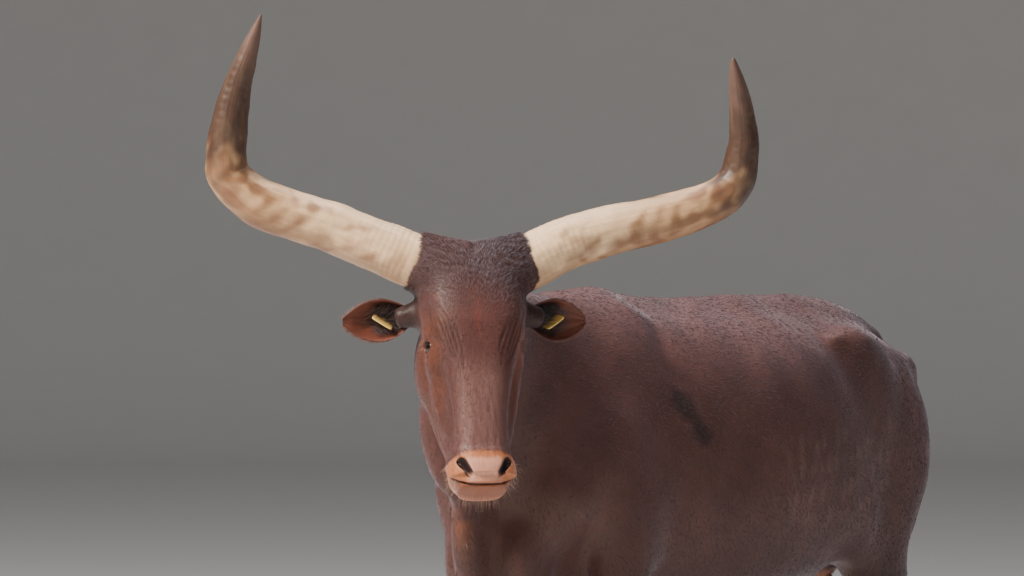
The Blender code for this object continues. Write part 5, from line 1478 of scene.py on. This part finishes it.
def leg_coat(skin):
    """Short tufts from the elbows and hocks down, shortest at the feet."""
    def weight(p):
        return ramp(0.66, 0.60, p[:, 2]) * ramp(SKIN_FOOT - 0.004, SKIN_FOOT + 0.002, p[:, 2])
    p, out, draw = skin_samples(skin, BAND_TUFTS, 62, weight)
    middle = np.array([-0.158, 0.158])[(p[:, 0] > 0).astype(int)]
    rear = p[:, 1] > 0.45
    leg = rear * 2 + (p[:, 0] > 0)
    uv = around(p[:, 0] - middle, p[:, 1] - np.where(rear, 1.03, -0.15), p[:, 2], 0.0, 0.7)
    uv[:, 0] = (uv[:, 0] + leg) / 4
    size = 0.55 + 0.45 * ramp(0.1, 0.5, p[:, 2])
    band = 0.6 * ramp(0.085, 0.062, p[:, 2])
    tufts("coat_legs", p, out, coat_lie(p, out), 0.012 * size, 0.0008 * size, 0.0010 + 0.002 * band,
          draw, uv)


def head_coat(skin):
    """The head's tufts: tiny on the face and muzzle, long and wavy on the poll between the horns."""
    def weight(p):
        q = to_head(p)
        bald = ramp(0.006, -0.004, muzzle_line(q)) + 0.25 * ramp(0.048, 0.056, np.abs(q[:, 0]))
        at_eye = np.linalg.norm(np.stack([np.abs(q[:, 0]), q[:, 1], q[:, 2]], 1) - np.array(EYE), axis=1)
        return head_share(p) * np.clip(bald, 0, 1) * ramp(0.0235, 0.027, at_eye) * (
            1 + 1.2 * ramp(-0.10, -0.04, q[:, 2]))
    p, out, draw = skin_samples(skin, 2 * BAND_TUFTS, 63, weight)
    q = to_head(p)
    order = np.argsort(q[:, 2])
    for band, chosen in enumerate(np.array_split(order, 2)):
        place, way, at = p[chosen], out[chosen], q[chosen]
        uv = around(at[:, 0], at[:, 1] - 0.02, at[:, 2], -0.54, 0.08)
        poll = ramp(-0.16, -0.03, at[:, 2]) * ramp(0.125, 0.100, np.abs(at[:, 0]))
        tiny = ramp(-0.10, -0.30, at[:, 2])
        length = 0.0085 * (1 - 0.35 * tiny) + 0.009 * poll
        wide = 0.00055 * (1 - 0.25 * tiny) + 0.00025 * poll
        lie = unit(coat_lie(place, way) + 0.35 * poll[:, None] * np.cross(way, coat_lie(place, way))
                   * np.sin(2 * np.pi * at[:, 2] / 0.022 + 3 * waves(at, 0.07, 64))[:, None])
        tufts(f"coat_head_{band + 1}", place, way, lie, length, wide, 0.0008 + 0.0014 * poll, draw, uv)


BAND_TUFTS = 19400


def lashes(side):
    """Pale lashes along the upper lid, longest in its middle, swept out and down."""
    draw = np.random.default_rng(71 + side)
    count = 64
    t = draw.uniform(0.04, 0.96, count)
    angle = np.pi * t
    wide, high = LID_REACH
    way = unit(np.array(EYE_WAY))
    across = unit(np.cross((0, 0, 1.0), way))
    up = np.cross(way, across)
    grow = unit(way * 0.75 + np.array([0, 0, -0.25]) + across * (np.cos(angle) * 0.8)[:, None]
                + up * (0.35 * np.sin(angle))[:, None])
    root = (np.array(EYE) + across * (np.cos(angle) * wide * 0.98)[:, None]
            + up * (np.sin(angle) * high * 0.95)[:, None]
            + way * (EYE_RADIUS * 0.70))
    length = (0.010 + 0.010 * np.sin(angle)) * draw.uniform(0.8, 1.15, count)
    steps = np.linspace(0, 1, 5)
    lines = (root[:, None] + grow[:, None] * (length[:, None] * steps)[..., None]
             + np.array([0, 0, -1.0]) * (length[:, None] * 0.35 * steps**2)[..., None])
    lines = lines * (side, 1, 1)
    sizes = 0.00042 * (1 - 0.7 * steps)[None] * np.ones(count)[:, None]
    tints = LASH * draw.uniform(0.6, 1.2, count)[:, None, None] * np.ones(5)[None, :, None]
    uv = np.stack([0.05 + 0.9 * t, np.full(count, 0.5 + 0.3 * side)], 1)
    strands(f"lashes_{'left' if side > 0 else 'right'}",
            from_head(lines.reshape(-1, 3)).reshape(lines.shape), sizes,
            tints, TUFT_FINISH, "coat", flat=0.8, uv=uv)


def ear_hair(name, side):
    """Long hairs from the ear's root across its cup, and a short fringe along its rim."""
    draw = np.random.default_rng(81 + side)
    rows, along, opens, wide = ear_line(name, side, 44)
    steps = np.linspace(0, 1, 6)
    count = 520
    place = draw.uniform(0.03, 0.48, count)
    index = place * (len(rows) - 1)

    def read(values):
        return np.stack([np.interp(index, np.arange(len(values)), column)
                         for column in np.asarray(values).T], 1)

    at, way, open_way, across = read(rows[:, :3]), read(along), read(opens), read(wide)
    half, cup = np.interp(index, np.arange(44), rows[:, 3]), np.interp(index, np.arange(44), rows[:, 4])
    turn = draw.uniform(-1.25, 1.25, count)
    root = (at + across * (half * 0.82 * np.sin(turn))[:, None]
            - open_way * ((cup - EAR_THICK) * np.cos(turn))[:, None])
    grow = unit(-across * (np.sin(turn) * 0.9)[:, None] + open_way * 0.75
                + way * draw.uniform(0.1, 0.9, count)[:, None])
    length = draw.uniform(0.014, 0.036, count)
    lines = (root[:, None] + grow[:, None] * (length[:, None] * steps)[..., None]
             + way[:, None] * (length[:, None] * 0.5 * steps**2)[..., None])
    inner = np.zeros(count)
    count_rim = 620
    index = draw.uniform(0.06, 1.0, count_rim) * (len(rows) - 1)
    at, way, open_way, across = read(rows[:, :3]), read(along), read(opens), read(wide)
    half = np.interp(index, np.arange(44), rows[:, 3])
    edge = np.where(draw.uniform(0, 1, count_rim) < 0.5, -1.0, 1.0)
    root_rim = (at + across * (edge * (half - 0.0025))[:, None]
                - open_way * draw.uniform(0, 0.004, count_rim)[:, None])
    grow = unit(across * (edge * 0.55)[:, None] + way * 0.8
                + open_way * draw.uniform(-0.3, 0.35, count_rim)[:, None])
    length_rim = draw.uniform(0.005, 0.010, count_rim)
    rim = root_rim[:, None] + grow[:, None] * (length_rim[:, None] * steps)[..., None]
    lines = np.concatenate([lines, rim])
    kind = np.concatenate([inner, np.ones(count_rim)])
    sizes = np.where(kind > 0, 0.00040, 0.00055)[:, None] * (1 - 0.75 * steps)[None]
    tone = np.where(kind[:, None] > 0, EAR_RIM, EAR_HAIR) * draw.uniform(0.45, 1.6, len(kind))[:, None]
    tints = tone[:, None] * (0.8 + 0.4 * steps)[None, :, None]
    uv = np.stack([0.02 + 0.96 * np.arange(len(kind)) / len(kind), 0.25 + 0.5 * kind], 1)
    strands(f"ear_hair_{name}", from_head(lines.reshape(-1, 3)).reshape(lines.shape), sizes, tints,
            TUFT_FINISH,
            "ear_coat", flat=0.7, uv=uv)


def whiskers(skin):
    """Sparse pale hairs on the muzzle's sides and chin."""
    def weight(p):
        q = to_head(p)
        return head_share(p) * ramp(0.0, 0.02, muzzle_line(q)) * (ramp(0.045, 0.06, np.abs(q[:, 0]))
                                                                  + ramp(-0.505, -0.515, q[:, 2]))
    p, out, draw = skin_samples(skin, 260, 65, weight)
    steps = np.linspace(0, 1, 5)
    length = draw.uniform(0.007, 0.020, len(p))
    lines = (p[:, None] + out[:, None] * (length[:, None] * steps)[..., None]
             + np.array([0, 0, -1.0]) * (length[:, None] * 0.7 * steps**2)[..., None])
    sizes = 0.00026 * (1 - 0.7 * steps)[None] * np.ones(len(p))[:, None]
    tints = WHISKER * draw.uniform(0.5, 1.0, len(p))[:, None, None] * np.ones(5)[None, :, None]
    q = to_head(p)
    strands("whiskers", lines, sizes, tints, TUFT_FINISH, "coat", flat=0.8,
            uv=around(q[:, 0], q[:, 1] - 0.02, q[:, 2], -0.54, 0.08))


def tail_coat():
    """Tufts down the tail, growing longer towards the switch."""
    draw = np.random.default_rng(91)
    count = 2600
    rows = curve_through(np.array(TAIL), 14)
    along, across, rise = frames_along(rows[:, :3], (1, 0, 0))
    index = draw.uniform(0, len(rows) - 1, count)

    def read(values):
        return np.stack([np.interp(index, np.arange(len(values)), column) for column in values.T], 1)

    angle = draw.uniform(0, 2 * np.pi, count)
    out = unit(read(across) * np.cos(angle)[:, None] + read(rise) * np.sin(angle)[:, None])
    p = read(rows[:, :3]) + out * (read(rows[:, 3:])[:, 0] - 0.0025)[:, None]
    share = index / (len(rows) - 1)
    uv = np.stack([0.01 + 0.98 * angle / 6.2832, 0.01 + 0.98 * share], 1)
    tufts("coat_tail", p, out, unit(read(along)), 0.016 + 0.014 * share, 0.0010, 0.0022 + 0.003 * share,
          draw, uv)


def switch():
    """The switch: long hairs from round the tail's end that swell out, hang down and gather to a point."""
    draw = np.random.default_rng(51)
    count, steps = 900, 9
    centres = curve_through(np.array(TAIL), 14)
    start = draw.uniform(0, 1, count)
    root_z = 0.70 - 0.20 * start
    root = np.stack([np.interp(root_z, centres[::-1, 2], centres[::-1, i]) for i in range(3)], 1)
    root[:, 2] = root_z
    way = unit(np.array([0.0, -0.045, -0.999]))
    angle = draw.uniform(0, 2 * np.pi, count)
    out = np.stack([np.cos(angle), np.sin(angle), 0 * angle], 1)
    length = draw.uniform(0.14, 0.24, count) * np.where(start > 0.5, 1.0, 0.9)
    reach = draw.uniform(0.006, 0.030, count)
    t = np.linspace(0, 1, steps)
    swell = np.sin(np.pi * t**0.8)[None, :] * reach[:, None] + 0.007 * (1 - t)
    sway = 0.012 * draw.uniform(-1, 1, count)[:, None] * t**2
    side = np.cross(way, out)
    curl = 0.0022 * np.sin(t[None] * draw.uniform(5, 11, count)[:, None]
                           + draw.uniform(0, 6, count)[:, None])
    lines = (root[:, None] + way * (length[:, None] * t)[..., None] + out[:, None]
             * (swell + curl)[..., None]
             + side[:, None] * (sway + curl)[..., None])
    sizes = 0.0013 * (1 - 0.75 * t)[None] * draw.uniform(0.7, 1.2, count)[:, None]
    tone = draw.uniform(0.7, 1.35, count)[:, None, None] * (0.8 + 0.5 * t)[None, :, None]
    tints = SWITCH_HAIR * tone
    uv = np.stack([angle / 6.2832 * 0.96 + 0.02, 0.02 + 0.96 * start], 1)
    strands("switch_hair", lines, sizes, tints, TUFT_FINISH, "switch", "tail_switch", uv=uv)


def teats():
    lofts = []
    for x, y, z in TEATS:
        for side in (-1, 1):
            profile = [(0, 0.016), (0.012, 0.0135), (0.03, 0.0115), (0.05, 0.0105), (0.060, 0.0085),
                       (0.064, 0.004)]
            lofts.append(turned(np.array([side * x, y, z + 0.026]), (0.06 * side, 0, -1), profile, 20))
    return joined("teats", lofts, UDDER_FINISH, "skin")


def udder_finish():
    made = Shader("udder_skin", 0.5)
    tone = made.group(MOTTLE, Colour=(*UDDER_SKIN, 1), Place=made.place, Scale=60.0, Amount=0.6)
    made.join(tone.outputs["Colour"], made.surface.inputs["Base Color"])
    made.join(made.bump(tone.outputs["Height"], 0.0008), made.surface.inputs["Normal"])
    return made.material


UDDER_FINISH = udder_finish()


# Studio.
def studio():
    """A pale floor that turns up into a round wall far out, with soft lights from high on the left."""
    profile = [(0, 0)] + [(r, 0) for r in np.linspace(2, 24, 12)]
    profile += [(24 + 6 * math.sin(a), 6 - 6 * math.cos(a)) for a in np.linspace(0.1, math.pi / 2, 14)]
    profile += [(30, 12)]
    angle = np.linspace(0, 2 * np.pi, 96, endpoint=False)
    rings = np.array([[(r * math.cos(a), r * math.sin(a), z) for a in angle] for r, z in profile[1:]])
    grid = np.arange(rings.shape[0] * 96).reshape(-1, 96)
    around = np.roll(grid, -1, 1)
    faces = np.stack([grid[:-1], grid[1:], around[1:], around[:-1]], -1).reshape(-1, 4).tolist()
    faces.append(grid[0].tolist())
    made = Shader("studio_floor", 0.85)
    tone = made.group(MOTTLE, Colour=(0.66, 0.65, 0.63, 1), Place=made.place, Scale=3.0, Amount=0.06)
    made.join(tone.outputs["Colour"], made.surface.inputs["Base Color"])
    floor = mesh_object("studio_floor", rings.reshape(-1, 3) + np.array(MIDDLE), faces, made.material)
    world = bpy.data.worlds.new("studio_light")
    world.use_nodes = True
    world.node_tree.nodes["Background"].inputs["Color"].default_value = (0.90, 0.93, 1.0, 1)
    world.node_tree.nodes["Background"].inputs["Strength"].default_value = 0.20
    bpy.context.scene.world = world
    for name, place, size, power, colour in (
            ("key", (-2.6, -7.6, 7.2), 2.0, 2150, (1.0, 0.92, 0.82)),
            ("sky", (-0.5, 0.5, 7.5), 6.0, 420, (0.84, 0.89, 1.0)),
            ("fill", (7.0, -4.0, 3.0), 4.0, 40, (1.0, 0.97, 0.94))):
        light = bpy.data.lights.new(name, "AREA")
        light.size, light.energy, light.color = size, power, colour
        lamp = bpy.data.objects.new(name, light)
        lamp.location = place
        lamp.rotation_euler = (Vector((0, -0.3, 0.9)) - Vector(place)).to_track_quat("-Z", "Y").to_euler()
        bpy.context.scene.collection.objects.link(lamp)


def camera():
    right = np.array([math.cos(VIEW_TURN), math.sin(VIEW_TURN), 0])
    ahead = np.array([-math.sin(VIEW_TURN), math.cos(VIEW_TURN), 0])
    place = np.array(POLL) + right * VIEW_SIDE - ahead * VIEW_STAND
    place[2] = VIEW_HEIGHT
    lens = bpy.data.cameras.new("view")
    lens.lens, lens.sensor_width = LENS, SENSOR
    made = bpy.data.objects.new("view", lens)
    made.location = place - np.array(MIDDLE)
    made.rotation_euler = (math.pi / 2, 0, VIEW_TURN)
    bpy.context.scene.collection.objects.link(made)
    bpy.context.scene.camera = made


camera()
studio()
skin = add_skin()
for side, name, rows in ((1, "left", HORN_LEFT), (-1, "right", HORN_RIGHT)):
    horn(name, rows)
    eyeball(name, side)
    ear(name, side)
    ear_tag(name, side)
for name, (rows, bumps, side, step) in LEGS.items():
    claw_pair(("fore_" if name.startswith("fore") else "hind_") + name[8:], side, rows[-2][1] + step)
tail()
switch()
teats()
body_coat(skin)
leg_coat(skin)
head_coat(skin)
tail_coat()
whiskers(skin)
for side, name in ((1, "left"), (-1, "right")):
    lashes(side)
    ear_hair(name, side)
